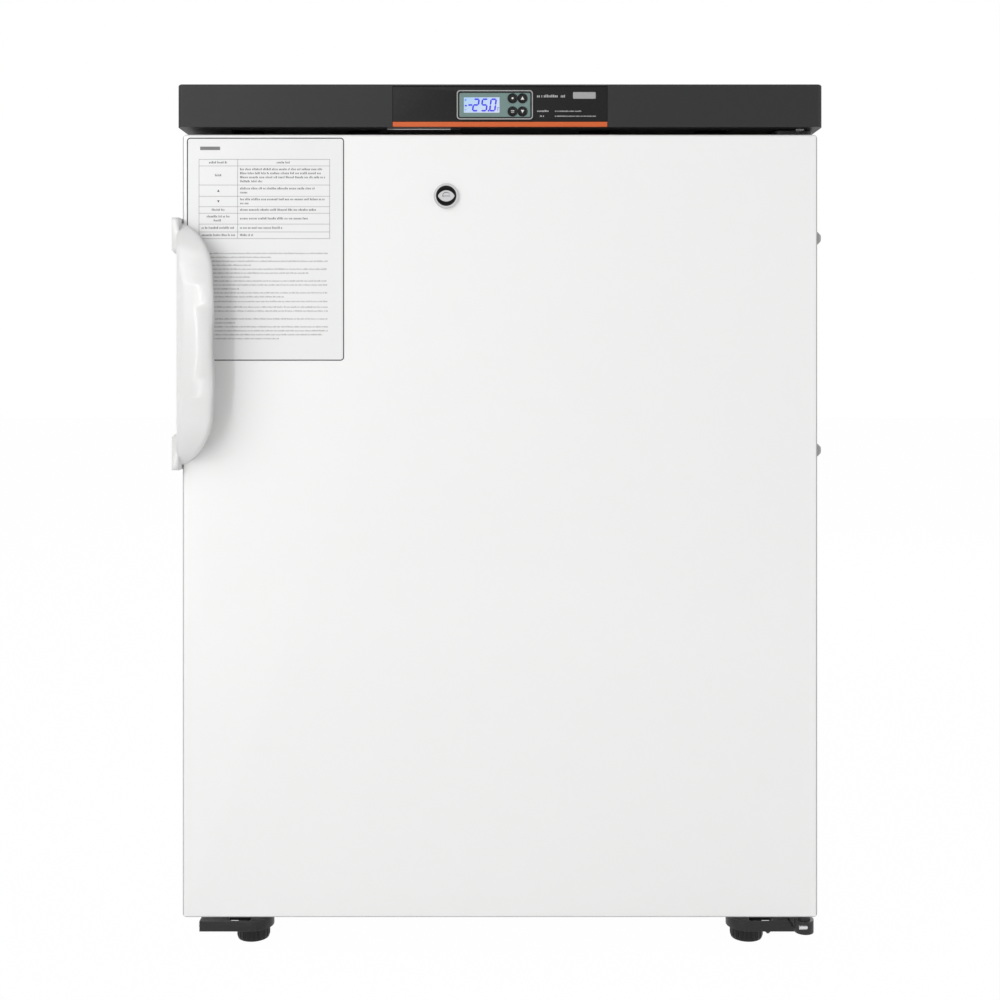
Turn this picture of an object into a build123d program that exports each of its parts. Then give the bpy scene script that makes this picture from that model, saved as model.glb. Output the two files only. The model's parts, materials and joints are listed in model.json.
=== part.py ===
"""Under-counter laboratory freezer: foamed cabinet, hinged door, control cover, drawers and cooling circuit.

Millimetres. X runs to the right as seen from the front, Y to the back, Z up. The origin lies on the floor,
under the middle of the freezer from side to side and from the handle's front to the condenser's back.
"""

import os

from build123d import *

# Overall sizes
overall_width = 600.0
overall_height = 820.0
cover_height = 40.0
floor_gap = 22.0
cover_side_overhang = 2.0
cabinet_depth = 480.0

# Sheet, moulding and foam thicknesses
sheet = 1.0
base_sheet = 1.5
front_hem = 2.0
liner_wall = 2.0
foam_side = 60.0
foam_top = 58.0
foam_floor = 54.5
foam_back = 60.0
foam_bay_front = 50.0
foam_bay_top = 49.0
liner_radius = 12.0
mouth_lap = 35.0

# Compressor bay at the lower rear
bay_depth = 205.0
bay_height = 228.0

# Door
door_side_inset = 2.0
door_foot_gap = 21.5
door_thickness = 44.0
door_top_gap = 6.5
door_setback = 2.5
door_edge_radius = 3.5
door_liner_sheet = 2.0
plug_depth = 20.0
plug_gap = 10.0
plug_radius = 8.0
gasket_depth = 12.0
gasket_gap = 0.3
gasket_width = 18.0
gasket_inset = 13.0

# Hinges
hinge_inset = 8.0
hinge_behind_face = 22.0
pin_radius = 4.0
pin_clearance = 0.05
pin_engagement = 12.0
bush_radius = 6.0
bush_flange_radius = 7.5
bush_flange = 1.0
hinge_plate = 3.0
hinge_lobe_radius = 9.0
hinge_shoulder_gap = 0.3
fixing_head_radius = 3.6
fixing_head_height = 2.2

# Handle
handle_reach = 38.5
handle_height = 233.0
handle_below_door_top = 195.3
handle_width = 38.0
handle_end_width = 34.6
handle_wall = 5.0
handle_side_wall = 7.0
handle_corner = 43.5
pad_thickness = 7.0
pad_height = 33.0
pad_back = 29.5
pad_front = 14.0
handle_screw_height = 199.0
handle_screw_inset = 12.0
screw_head_radius = 4.5
screw_shank_radius = 2.2
hole_plug_radius = 6.0
hole_plug_height = 5.0

# Lock
lock_x = -50.0
lock_below_top = 57.5
lock_ring_radius = 11.7
lock_ring_height = 3.4
lock_bowl_radius = 9.5
lock_plug_radius = 5.0
lock_barrel_radius = 9.3
lock_barrel_length = 24.5
cam_length = 70.0
cam_width = 10.0
cam_thickness = 2.5
cam_side_room = 2.0

# Top cover and control panel
cover_wall = 3.0
cover_front_wall = 4.0
cover_floor = 2.5
cover_seat = 4.0
cover_flange = 12.0
cover_corner_radius = 5.0
cover_edge_radius = 2.0
vent_pitch = 110.0
vent_length = 30.0
vent_from_left = 60.0
vent_from_hinge = 88.0
panel_width = 200.0
panel_thickness = 2.0
strip_height = 4.5
panel_margin = 0.6
display_x = -4.8
display_z_above_cover_foot = 20.4
display_width = 70.4
display_height = 26.8
bezel_rim = 2.0
bezel_height = 1.2
display_plate_sheet = 1.2
screen_width = 33.5
screen_height = 14.6
screen_from_left = 4.2
button_radius = 3.3
button_clearance = 0.35
button_travel = 1.0
button_pitch_x = 9.2
button_pitch_z = 12.2
button_from_right = 7.5
module_depth = 56.0

# Feet and rollers
foot_from_side = 57.0
foot_behind_front = 9.2
foot_radius = 16.0
foot_knob_height = 14.0
foot_ribs = 20
foot_rib_depth = 1.0
foot_stem_radius = 5.0
foot_stem_clearance = 0.06
foot_stem_hold = 10.0
foot_travel = 12.0
foot_bracket_radius = 20.0
foot_bracket_height = 10.0
foot_bracket_wall = 2.5
foot_bracket_reach = 49.0
roller_radius = 9.5
roller_width = 20.0
roller_axle_radius = 3.0
roller_from_back = 34.0

# Evaporator shelves and drawers
shelf_count = 3
shelf_above_step = 3.0
evaporator_tube_radius = 4.0
evaporator_runs = 6
wire = 2.0
shelf_wire_pitch = 24.0
shelf_front_inset = 38.0
shelf_back_gap = 14.0
ledge_width = 8.0
drawer_side_gap = 13.0
drawer_front_gap = 15.0
drawer_back_gap = 8.0
low_drawer_back_gap = 6.0
drawer_wall = 2.5
drawer_front_wall = 5.0
drawer_headroom = 19.0
low_drawer_headroom = 24.0
drawer_lift = 0.3
drawer_slot_from_end = 60.0
drawer_slot_pitch = 110.0
drawer_slot_length = 50.0
drawer_slot_height = 8.0
drawer_slot_below_top = 22.0
grip_width = 130.0
grip_height = 24.0
grip_below_top = 14.0

# Condenser and compressor
condenser_standoff = 14.0
condenser_tube_radius = 3.0
condenser_runs = 9
condenser_above_bay = 40.0
condenser_below_top = 54.0
condenser_from_side = 73.0
condenser_inlet_offset = 18.0
pipe_end_above_bay = 10.0
drier_length = 90.0
drier_radius = 9.0
capillary_drop = 18.0
capillary_radius = 1.5
condenser_wire = 1.6
condenser_wire_pitch = 15.0
pipe_sides = 6
compressor_radius = 68.0
compressor_height = 150.0
compressor_x = 60.0
discharge_rise = 80.0
grommet_height = 12.0
grommet_radius = 9.0
louvre_columns = (-150.0, -30.0, 90.0)
louvre_length = 110.0
louvre_width = 5.0
louvre_pitch = 15.0
gland_radius = 8.0
gland_from_side = 40.0
gland_above_base = 45.0

FROM_BELOW = (Align.CENTER, Align.CENTER, Align.MIN)

# Places along Y, from the handle's front to the condenser's back
total_depth = (
    handle_reach + door_thickness + gasket_depth + gasket_gap
    + cabinet_depth + condenser_standoff + condenser_tube_radius + condenser_wire
)
door_face = -total_depth / 2 + handle_reach
cover_front = door_face - door_setback
door_back = door_face + door_thickness
cabinet_front = door_back + gasket_depth + gasket_gap
cabinet_back = cabinet_front + cabinet_depth
hinge_y = door_face + hinge_behind_face
plug_back = door_back + plug_depth
condenser_y = cabinet_back + condenser_standoff

# Places along Z
cover_foot = overall_height - cover_height
cabinet_top = cover_foot - cover_seat
cabinet_bottom = floor_gap
door_top = cover_foot - door_top_gap
door_bottom = cabinet_bottom + door_foot_gap
bay_top = cabinet_bottom + bay_height
lock_z = door_top - lock_below_top
display_z = cover_foot + display_z_above_cover_foot
handle_centre_height = door_top - handle_below_door_top

# Places along X
cabinet_side = overall_width / 2 - cover_side_overhang
door_side = cabinet_side - door_side_inset
hinge_x = door_side - hinge_inset
foot_x = cabinet_side - foot_from_side

# Liner, inside faces
liner_side = cabinet_side - sheet - foam_side - liner_wall
liner_top = cabinet_top - sheet - foam_top - liner_wall
liner_floor = cabinet_bottom + base_sheet + foam_floor + liner_wall
liner_back = cabinet_back - sheet - foam_back - liner_wall
bay_front = cabinet_back - bay_depth
step_wall = bay_front - foam_bay_front - liner_wall
step_floor = bay_top + foam_bay_top + liner_wall

# Shelves: the underside of each one's tube, lowest first
first_shelf = step_floor + shelf_above_step
shelf_pitch = (liner_top - first_shelf) / shelf_count
shelf_levels = [first_shelf + i * shelf_pitch for i in range(shelf_count)]
shelf_front = cabinet_front + shelf_front_inset
shelf_back = liner_back - shelf_back_gap
drawer_height = shelf_pitch - drawer_headroom
low_drawer_height = first_shelf - liner_floor - low_drawer_headroom
drawer_half = liner_side - drawer_side_gap
drawer_front = plug_back + drawer_front_gap
drawer_back = shelf_back - drawer_back_gap
low_drawer_back = step_wall - low_drawer_back_gap

# Foot places
foot_y = cabinet_front + foot_behind_front
foot_stem_top = cabinet_bottom + base_sheet + foot_stem_hold + foot_travel
roller_y = cabinet_back - roller_from_back


def block(x0, x1, y0, y1, z0, z1):
    """A box between two corners."""
    middle = Pos((x0 + x1) / 2, (y0 + y1) / 2, (z0 + z1) / 2)
    return middle * Box(abs(x1 - x0), abs(y1 - y0), abs(z1 - z0))


def upright(x, y, z0, z1, radius):
    """A round rod along Z."""
    return Pos(x, y, (z0 + z1) / 2) * Cylinder(radius, abs(z1 - z0))


def along_y(x, z, y0, y1, radius):
    """A round rod along Y."""
    return Pos(x, (y0 + y1) / 2, z) * Rot(90, 0, 0) * Cylinder(radius, abs(y1 - y0))


def along_x(y, z, x0, x1, radius):
    """A round rod along X."""
    return Pos((x0 + x1) / 2, y, z) * Rot(0, 90, 0) * Cylinder(radius, abs(x1 - x0))


def tube(points, bend, radius):
    """A pipe along straight runs joined by bends, with few sides, as so many bends repeat."""
    path = FilletPolyline(*points, radius=bend)
    start = Plane(origin=path @ 0, z_dir=path % 0)
    return sweep(start * RegularPolygon(radius, pipe_sides), path=path)


def spaced(low, high, pitch):
    """Even positions no wider apart than pitch, from low to high."""
    count = max(1, round((high - low) / pitch))
    return [low + (high - low) * i / count for i in range(count + 1)]


def group(pieces):
    """Separate solids kept as one named piece."""
    return Compound(children=[s for piece in pieces for s in piece.solids()])


def liner_form(wall):
    """The liner's inside space with its step over the compressor bay, grown by a wall."""
    outline = Polyline(
        (cabinet_front, liner_floor - wall),
        (step_wall + wall, liner_floor - wall),
        (step_wall + wall, step_floor - wall),
        (liner_back + wall, step_floor - wall),
        (liner_back + wall, liner_top + wall),
        (cabinet_front, liner_top + wall),
        close=True,
    )
    half = liner_side + wall
    form = extrude(Plane.YZ.offset(-half) * make_face(outline), amount=2 * half)
    lengthwise = form.edges().filter_by(Axis.Y)
    outer = [e for e in lengthwise if e.center().Z < liner_floor or e.center().Z > liner_top - 1]
    return fillet(outer, liner_radius + wall)


def front_ring(x_out, z_low_out, z_high_out, x_in, z_low_in, z_high_in, y0, y1):
    """A flat rectangular ring that faces the door."""
    outer = block(-x_out, x_out, y0, y1, z_low_out, z_high_out)
    return outer - block(-x_in, x_in, y0 - 1, y1 + 1, z_low_in, z_high_in)


# The flange of the liner, between its mouth and the shell's hem
flange_side = liner_side + mouth_lap
flange_low = liner_floor - mouth_lap
flange_high = liner_top + mouth_lap


def outer_shell():
    """Folded steel wrap: both sides, the top, and the hem round the front."""
    body = block(-cabinet_side, cabinet_side, cabinet_front, cabinet_back, cabinet_bottom, cabinet_top)
    inside = cabinet_side - sheet
    body -= block(-inside, inside, cabinet_front + front_hem, cabinet_back + 1, cabinet_bottom - 1,
                  cabinet_top - sheet)
    mouth = block(-flange_side, flange_side, cabinet_front - 1, cabinet_front + front_hem + 1,
                  flange_low, flange_high)
    return body - mouth


def base_plate():
    """Floor sheet of the cabinet, which carries the compressor, the feet and the rollers."""
    inside = cabinet_side - sheet
    plate = block(-inside, inside, cabinet_front + front_hem, cabinet_back, cabinet_bottom,
                  cabinet_bottom + base_sheet)
    for x in (-foot_x, foot_x):
        plate -= upright(x, foot_y, cabinet_bottom - 1, cabinet_bottom + base_sheet + 1, foot_hole_radius())
    return plate


def foot_hole_radius():
    """Radius of every hole that a foot's stem runs in."""
    return foot_stem_radius + foot_stem_clearance


def back_panel():
    """Rear sheet above the compressor bay."""
    inside = cabinet_side - sheet
    return block(-inside, inside, cabinet_back - sheet, cabinet_back, bay_top, cabinet_top - sheet)


def compartment_panel():
    """Bent sheet that closes the foam off from the compressor bay."""
    inside = cabinet_side - sheet
    base = cabinet_bottom + base_sheet
    wall = block(-inside, inside, bay_front, bay_front + sheet, base, bay_top)
    ceiling = block(-inside, inside, bay_front, cabinet_back, bay_top - sheet, bay_top)
    return wall + ceiling


def cabinet_foam():
    """Insulation foamed between the shell and the liner."""
    inside = cabinet_side - sheet
    base = cabinet_bottom + base_sheet
    foam = block(-inside, inside, cabinet_front + front_hem, cabinet_back - sheet, base, cabinet_top - sheet)
    foam -= liner_form(liner_wall)
    foam -= block(-inside - 1, inside + 1, bay_front, cabinet_back + 1, base - 1, bay_top)
    for x in (-foot_x, foot_x):
        foam -= upright(x, foot_y, base - 1, foot_stem_top + 2, foot_stem_radius + 2)
    return foam


def inner_liner():
    """Vacuum-formed liner with its front flange and the ledges that carry the shelves."""
    shell = liner_form(liner_wall)
    flange = block(-flange_side, flange_side, cabinet_front, cabinet_front + front_hem, flange_low, flange_high)
    liner = (shell + flange) - liner_form(0)
    for level in shelf_levels:
        for side in (-1, 1):
            liner += block(side * (liner_side - ledge_width), side * (liner_side + liner_wall / 2),
                           shelf_front, shelf_back, level, level + 2 * evaporator_tube_radius)
    return liner


def evaporator_shelf(index):
    """Wire-and-tube shelf: a serpentine pipe with wires across it and its riser to the next shelf."""
    level = shelf_levels[index]
    z = level + evaporator_tube_radius
    side = 1 if index % 2 else -1
    half = liner_side - 36.0
    bend = half / (evaporator_runs - 1) - 0.5
    columns = [side * (half - 2 * half * i / (evaporator_runs - 1)) for i in range(evaporator_runs)]
    joint_y = shelf_back - 6.0
    near, far = shelf_front + 6.0, shelf_back - 30.0
    start_y = liner_back if index == 0 else joint_y
    points = [(columns[0], start_y, z)]
    for i, x in enumerate(columns):
        ends = (far, near) if i % 2 == 0 else (near, far)
        if i > 0:
            points.append((x, ends[0], z))
        if i < evaporator_runs - 1:
            points.append((x, ends[1], z))
    last = columns[-1]
    if index == shelf_count - 1:
        points.append((last, liner_back, z))
        pipe = tube(points, bend, evaporator_tube_radius)
    else:
        riser_y = liner_back - evaporator_tube_radius - 2.0
        serpentine = tube(points + [(last, joint_y, z)], bend, evaporator_tube_radius)
        riser = [(last, joint_y, z), (last, riser_y, z), (last, riser_y, z + shelf_pitch),
                 (last, joint_y, z + shelf_pitch)]
        pipe = group([serpentine, tube(riser, 8.0, evaporator_tube_radius)])
    reach = liner_side - 0.5
    top = level + 2 * evaporator_tube_radius
    wires = [block(-reach, reach, y - wire / 2, y + wire / 2, top, top + wire)
             for y in spaced(shelf_front + 4, shelf_back - 4 - wire, shelf_wire_pitch)]
    return group([pipe] + wires)


def temperature_probe():
    """Sensor capsule in its clip on the liner's back wall."""
    z = shelf_levels[-1] + 70.0
    x = liner_side - 60.0
    capsule = along_x(liner_back - 8, z, x - 25, x + 25, 3.5)
    clip = block(x - 6, x + 6, liner_back - 12.5, liner_back, z - 5, z + 5)
    return capsule + clip


def drawer(bottom, height, back):
    """Moulded drawer with a grip opening and a lip in its front, and air slots in its sides."""
    half = drawer_half
    top = bottom + height
    body = block(-half, half, drawer_front, back, bottom, top)
    body = fillet(body.edges().filter_by(Axis.Z), 6)
    well = block(-half + drawer_wall, half - drawer_wall, drawer_front + drawer_front_wall,
                 back - drawer_wall, bottom + drawer_wall, top + 1)
    body -= fillet(well.edges().filter_by(Axis.Z), 4)
    grip_z = top - grip_height / 2 - grip_below_top
    grip = Plane.XZ * Pos(0, grip_z) * SlotOverall(grip_width, grip_height)
    body -= extrude(grip, amount=drawer_front_wall * 2, both=True).moved(Pos(0, drawer_front, 0))
    for z in spaced(bottom + height * 0.22, grip_z - grip_height, 16):
        body -= block(-half + 24, half - 24, drawer_front - 1, drawer_front + 1.2, z - 1.5, z + 1.5)
    slot_top, slot_half = top - drawer_slot_below_top, drawer_slot_length / 2
    for y in spaced(drawer_front + drawer_slot_from_end, back - drawer_slot_from_end, drawer_slot_pitch):
        body -= block(-half - 1, half + 1, y - slot_half, y + slot_half, slot_top - drawer_slot_height, slot_top)
    return body


def drawer_bottoms():
    """Heights of the drawers' undersides, top drawer first."""
    shelf_tops = [level + 2 * evaporator_tube_radius + wire + drawer_lift for level in reversed(shelf_levels)]
    return shelf_tops + [liner_floor + drawer_lift]


def top_cover():
    """Moulded cover with the worktop, the fascia and the overhang above the door."""
    half = overall_width / 2
    body = block(-half, half, cover_front, cabinet_back, cover_foot, overall_height)
    body = fillet(body.edges().filter_by(Axis.Z), cover_corner_radius)
    body = fillet(body.faces().sort_by(Axis.Z)[-1].edges(), cover_edge_radius)
    seat = block(-half, half, cabinet_front, cabinet_back, cabinet_top, cover_foot)
    rear = [e for e in seat.edges().filter_by(Axis.Z) if e.center().Y > 0]
    body += fillet(rear, cover_corner_radius)
    body -= block(-half + cover_wall, half - cover_wall, cover_front + cover_front_wall,
                  cabinet_back - cover_wall, cover_foot + cover_floor, overall_height - cover_wall)
    body -= block(-half + cover_flange, half - cover_flange, cabinet_front, cabinet_back - cover_flange,
                  cabinet_top - 1, cover_foot + cover_floor + 1)
    panel_half = panel_width / 2
    body -= block(-panel_half, panel_half, cover_front - 1, cover_front + panel_thickness,
                  cover_foot - 1, overall_height - cover_edge_radius)
    body -= display_window(cover_front - 1, cover_front + cover_front_wall + 1)
    body -= cam_slot(cover_foot - 1, cover_foot + cover_floor + 1)
    for x in spaced(-half + vent_from_left, hinge_x - vent_from_hinge, vent_pitch):
        if abs(x - lock_x) > cam_length:
            body -= block(x - vent_length / 2, x + vent_length / 2, cover_front + 20, cabinet_front - 10,
                          cover_foot - 1, cover_foot + cover_floor + 1)
    return body


def display_window(y0, y1):
    """Opening for the controller behind the display, as a solid to cut with."""
    half = display_width / 2 - bezel_rim
    high = display_height / 2 - bezel_rim
    return block(display_x - half, display_x + half, y0, y1, display_z - high, display_z + high)


def cam_slot(z0, z1):
    """The slot that the lock's cam rises through, as a solid to cut with."""
    room = cam_side_room
    rise = cover_foot - lock_z
    swing = (cam_length**2 - rise**2) ** 0.5 + cam_width / 2
    return block(lock_x - swing - room, lock_x + cam_width / 2 + room, cam_y() - room,
                 cam_y() + cam_thickness + room, z0, z1)


def control_panel():
    """Darker panel let into the middle of the fascia."""
    half = panel_width / 2 - panel_margin / 2
    low = cover_foot + panel_margin + strip_height
    panel = block(-half, half, cover_front, cover_front + panel_thickness, low,
                  overall_height - cover_edge_radius - panel_margin)
    return panel - display_window(cover_front - 1, cover_front + panel_thickness + 1)


def accent_strip():
    """Coloured strip along the foot of the control panel."""
    half = panel_width / 2 - panel_margin / 2
    strip = block(-half, half, cover_front - 0.3, cover_front + panel_thickness, cover_foot + panel_margin / 2,
                  cover_foot + panel_margin / 2 + strip_height)
    return fillet(strip.faces().sort_by(Axis.Y)[0].edges().filter_by(Axis.X), 0.25)


def display_bezel():
    """Rounded frame round the display."""
    y = cover_front
    outer = Pos(display_x, 0, display_z) * extrude(
        Plane.XZ * RectangleRounded(display_width, display_height, 3), amount=bezel_height)
    inner = Pos(display_x, 0, display_z) * extrude(
        Plane.XZ * RectangleRounded(display_width - 2 * bezel_rim, display_height - 2 * bezel_rim, 1.5),
        amount=bezel_height * 2, both=True)
    return (outer - inner).moved(Pos(0, y, 0))


plate_front = cover_front - bezel_height + 0.6
plate_back = plate_front + display_plate_sheet
screen_left = display_x - display_width / 2 + bezel_rim + screen_from_left
button_right = display_x + display_width / 2 - bezel_rim - button_from_right


def button_places():
    """Centres of the four buttons, named by what they do."""
    left = button_right - button_pitch_x
    high = display_z + button_pitch_z / 2
    low = display_z - button_pitch_z / 2
    return {
        "button_set": (left, low),
        "button_lock": (left, high),
        "button_up": (button_right, high),
        "button_down": (button_right, low),
    }


def display_plate():
    """Face plate of the controller, with the screen's window and the buttons' holes."""
    half = display_width / 2 - bezel_rim - 0.2
    high = display_height / 2 - bezel_rim - 0.2
    plate = block(display_x - half, display_x + half, plate_front, plate_back, display_z - high, display_z + high)
    plate = fillet(plate.edges().filter_by(Axis.Y), 1.3)
    plate -= block(screen_left, screen_left + screen_width, plate_front - 1, plate_back + 1,
                   display_z - screen_height / 2, display_z + screen_height / 2)
    for x, z in button_places().values():
        plate -= along_y(x, z, plate_front - 1, plate_back + 1, button_radius + button_clearance)
    return plate


def lcd_screen():
    """Screen set a little back in the face plate."""
    gap = 0.1
    return block(screen_left + gap, screen_left + screen_width - gap, plate_front + 0.3, module_floor(),
                 display_z - screen_height / 2 + gap, display_z + screen_height / 2 - gap)


def module_floor():
    """Y of the board behind the screen and the buttons."""
    return plate_back + 3.0


def controller_module():
    """Housing behind the display, with the board that the screen and buttons work on."""
    gap = 0.3
    half = display_width / 2 - bezel_rim - gap
    high = display_height / 2 - bezel_rim - gap
    x0, x1, z0, z1 = display_x - half, display_x + half, display_z - high, display_z + high
    housing = block(x0, x1, plate_back, plate_back + module_depth, z0, z1)
    return housing - block(x0 + 1.5, x1 - 1.5, plate_back - 1, module_floor(), z0 + 1.5, z1 - 1.5)


def button(name):
    """Push button with a domed front, free to travel until it meets the board's switch."""
    x, z = button_places()[name]
    back = module_floor() - button_travel - 0.2
    front = plate_front - 0.9
    key = along_y(x, z, front, back, button_radius)
    return chamfer(key.faces().sort_by(Axis.Y)[0].edges(), 0.4)


def strike_plate():
    """Metal plate under the overhang that the lock's cam rises through."""
    rise = cover_foot - lock_z
    swing = (cam_length**2 - rise**2) ** 0.5 + cam_width / 2
    plate = block(lock_x - swing - 22, lock_x + cam_width / 2 + 8, cam_y() - 20, cam_y() + 14,
                  cover_foot - 0.8, cover_foot)
    return plate - cam_slot(cover_foot - 2, cover_foot + 1)


def top_hinge_bracket():
    """Plate on the cabinet's top with the upper hinge pin riveted into it."""
    z0, z1 = cabinet_top, cabinet_top + hinge_plate
    inner = hinge_x - 62
    outer = overall_width / 2 - cover_flange - 2
    plate = block(inner, outer, cabinet_front, cabinet_front + 42, z0, z1)
    plate = fillet([e for e in plate.edges().filter_by(Axis.Z) if e.center().Y > cabinet_front + 1], 6)
    arm = block(hinge_x - 30, outer, hinge_y - hinge_lobe_radius, cabinet_front, z0, z1)
    corner = [e for e in arm.edges().filter_by(Axis.Z) if e.center().Y < hinge_y and e.center().X < hinge_x]
    arm = fillet(corner, 8)
    pin = upright(hinge_x, hinge_y, door_top - pin_engagement, z1, pin_radius)
    return plate + arm + upright(hinge_x, hinge_y, z0, z1, hinge_lobe_radius - 2) + pin


def bracket_outline(side, shrink):
    """Plan of the channel over a foot: a round end about the foot and a square outer end."""
    radius = foot_bracket_radius - shrink
    round_end = Pos(side * foot_x, foot_y) * Circle(radius)
    far = foot_x + foot_bracket_reach - shrink
    bar = Pos(side * (foot_x + far) / 2, foot_y) * Rectangle(far - foot_x, 2 * radius)
    return round_end + bar


def foot_bracket(side):
    """Pressed channel under the cabinet's corner that a levelling foot screws into."""
    low = cabinet_bottom - foot_bracket_height
    body = extrude(Pos(0, 0, low) * bracket_outline(side, 0), amount=foot_bracket_height)
    body -= extrude(Pos(0, 0, low) * bracket_outline(side, foot_bracket_wall),
                    amount=foot_bracket_height - hinge_plate)
    body -= upright(side * foot_x, foot_y, low - 1, cabinet_bottom + 1, foot_hole_radius())
    slot = block(side * foot_x, side * (foot_x + 21), foot_y - foot_bracket_radius + 1.5, cabinet_front - 1,
                 low + 6, cabinet_bottom + 1)
    return body - fillet(slot.edges().filter_by(Axis.Z), 2)


def bottom_hinge_bracket():
    """Right-hand foot bracket with the raised arm and pin that carry the door."""
    bracket = foot_bracket(1)
    z0, z1 = cabinet_bottom, cabinet_bottom + hinge_plate + 1
    lobe = hinge_lobe_radius
    arm = block(hinge_x - lobe, hinge_x + 2, hinge_y, cabinet_front - 0.5, z0, z1)
    arm += upright(hinge_x, hinge_y, z0, z1 + 8, lobe)
    shoulder = door_bottom - bush_flange - hinge_shoulder_gap
    arm += upright(hinge_x, hinge_y, z1, shoulder, bush_radius)
    arm += upright(hinge_x, hinge_y, z1, door_bottom + pin_engagement, pin_radius)
    foot_of_arm = block(hinge_x - lobe, hinge_x + 2, foot_y - foot_bracket_radius, cabinet_front - 0.5,
                        cabinet_bottom - hinge_plate, z1)
    return bracket + arm + foot_of_arm


def fixing_screws():
    """Pan-head screws of the brackets, all alike."""
    heads = []
    low = cabinet_bottom - hinge_plate
    for side in (-1, 1):
        for x in (foot_x + 24, foot_x + 40):
            heads.append(upright(side * x, foot_y + 8, low - fixing_head_height, low, fixing_head_radius))
    top = cabinet_top + hinge_plate
    for x, y in ((hinge_x - 50, 32), (hinge_x - 50, 12), (hinge_x - 14, 32)):
        heads.append(upright(x, cabinet_front + y, top, top + fixing_head_height, fixing_head_radius))
    return group(heads)


def levelling_foot(side):
    """Ribbed knob on a threaded stem."""
    x, y = side * foot_x, foot_y
    rim = [Vector(foot_radius - (foot_rib_depth if i % 4 > 1 else 0), 0, 0).rotate(Axis.Z, 90 * i / foot_ribs)
           for i in range(4 * foot_ribs)]
    ribbed = extrude(make_face(Polyline(*rim, close=True)), amount=foot_knob_height)
    knob = Pos(x, y) * (ribbed & Cone(foot_radius - 1, foot_radius + 12, 40, align=FROM_BELOW))
    collar_top = cabinet_bottom - hinge_plate - 0.3
    knob += upright(x, y, foot_knob_height, collar_top, foot_stem_radius + 4)
    return knob + upright(x, y, foot_knob_height, foot_stem_top, foot_stem_radius)


def roller(side):
    """Rear roller with a running bore."""
    x = side * foot_x
    half = roller_width / 2
    wheel = along_x(roller_y, roller_radius, x - half, x + half, roller_radius)
    wheel = chamfer(wheel.edges().filter_by(GeomType.CIRCLE), 1.2)
    return wheel - along_x(roller_y, roller_radius, x - half - 1, x + half + 1, roller_axle_radius + pin_clearance)


def roller_brackets():
    """Two forked brackets with their axles under the cabinet's rear edge."""
    forks = []
    for side in (-1, 1):
        x = side * foot_x
        reach = roller_width / 2 + 1
        fork = block(x - reach - 2, x + reach + 2, roller_y - 16, roller_y + 16, cabinet_bottom - 2, cabinet_bottom)
        for way in (-1, 1):
            cheek = block(x + way * reach, x + way * (reach + 2), roller_y - 10, roller_y + 10,
                          roller_radius - 5, cabinet_bottom)
            low = [e for e in cheek.edges().filter_by(Axis.X) if e.center().Z < roller_radius]
            fork += fillet(low, 4)
        fork += along_x(roller_y, roller_radius, x - reach - 3.5, x + reach + 3.5, roller_axle_radius)
        forks.append(fork)
    return group(forks)


def door_panel():
    """Steel door skin with rounded edges, folded round the sides."""
    back = door_back - door_liner_sheet
    skin = block(-door_side, door_side, door_face, back, door_bottom, door_top)
    skin = fillet(skin.edges().filter_by(Axis.Y), door_edge_radius)
    skin = fillet(skin.faces().sort_by(Axis.Y)[0].edges(), door_edge_radius - sheet)
    inside = door_side - sheet
    hollow = block(-inside, inside, door_face + sheet, back + 1, door_bottom + sheet, door_top - sheet)
    skin -= fillet(hollow.edges().filter_by(Axis.Y), door_edge_radius - sheet)
    skin -= along_y(lock_x, lock_z, door_face - 1, door_face + sheet + 1, lock_barrel_radius + 0.2)
    for z in (door_bottom, door_top):
        skin -= upright(hinge_x, hinge_y, z - 2, z + 2, bush_radius + 0.1)
    return skin - door_cam_slot()


def door_cam_slot():
    """Slot in the door's top edge for the cam, as a solid to cut with."""
    room = cam_side_room
    rise = lock_below_top - sheet
    swing = (cam_length**2 - rise**2) ** 0.5 + cam_width / 2
    return block(lock_x - swing - room, lock_x + cam_width / 2 + room, cam_y() - room,
                 cam_y() + cam_thickness + room, door_top - sheet - 1, door_top + 1)


def cam_y():
    """Front of the cam, at the back end of the lock's barrel."""
    return door_face + lock_barrel_length + 1.0


def plug_form(wall):
    """The door liner's raised middle, which reaches into the liner's mouth, shrunk by a wall."""
    x = liner_side - plug_gap - wall
    low = liner_floor + plug_gap + wall
    high = liner_top - plug_gap - wall
    form = block(-x, x, door_back - door_liner_sheet, plug_back - wall, low, high)
    form = fillet(form.edges().filter_by(Axis.Y), plug_radius - wall)
    return fillet(form.faces().sort_by(Axis.Y)[-1].edges(), plug_radius - wall - 1)


def door_liner():
    """Inner skin of the door with its raised middle."""
    plate = block(-door_side, door_side, door_back - door_liner_sheet, door_back, door_bottom, door_top)
    plate = fillet(plate.edges().filter_by(Axis.Y), door_edge_radius)
    return plate + plug_form(0) - plug_form(door_liner_sheet)


def door_foam():
    """Insulation inside the door."""
    inside = door_side - sheet
    back = door_back - door_liner_sheet
    foam = block(-inside, inside, door_face + sheet, back, door_bottom + sheet, door_top - sheet)
    foam = fillet(foam.edges().filter_by(Axis.Y), door_edge_radius - sheet)
    foam += plug_form(door_liner_sheet)
    foam -= along_y(lock_x, lock_z, door_face, lock_box_front() + 1, lock_barrel_radius + 0.2)
    foam -= lock_box_form(0)
    for low, high in ((door_bottom, door_bottom + bush_length()), (door_top - bush_length(), door_top)):
        foam -= upright(hinge_x, hinge_y, low - 1, high + 1, bush_radius + 0.1)
    return foam


def lock_box_front():
    """Front of the guard box round the cam."""
    return cam_y() - 3.0


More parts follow.
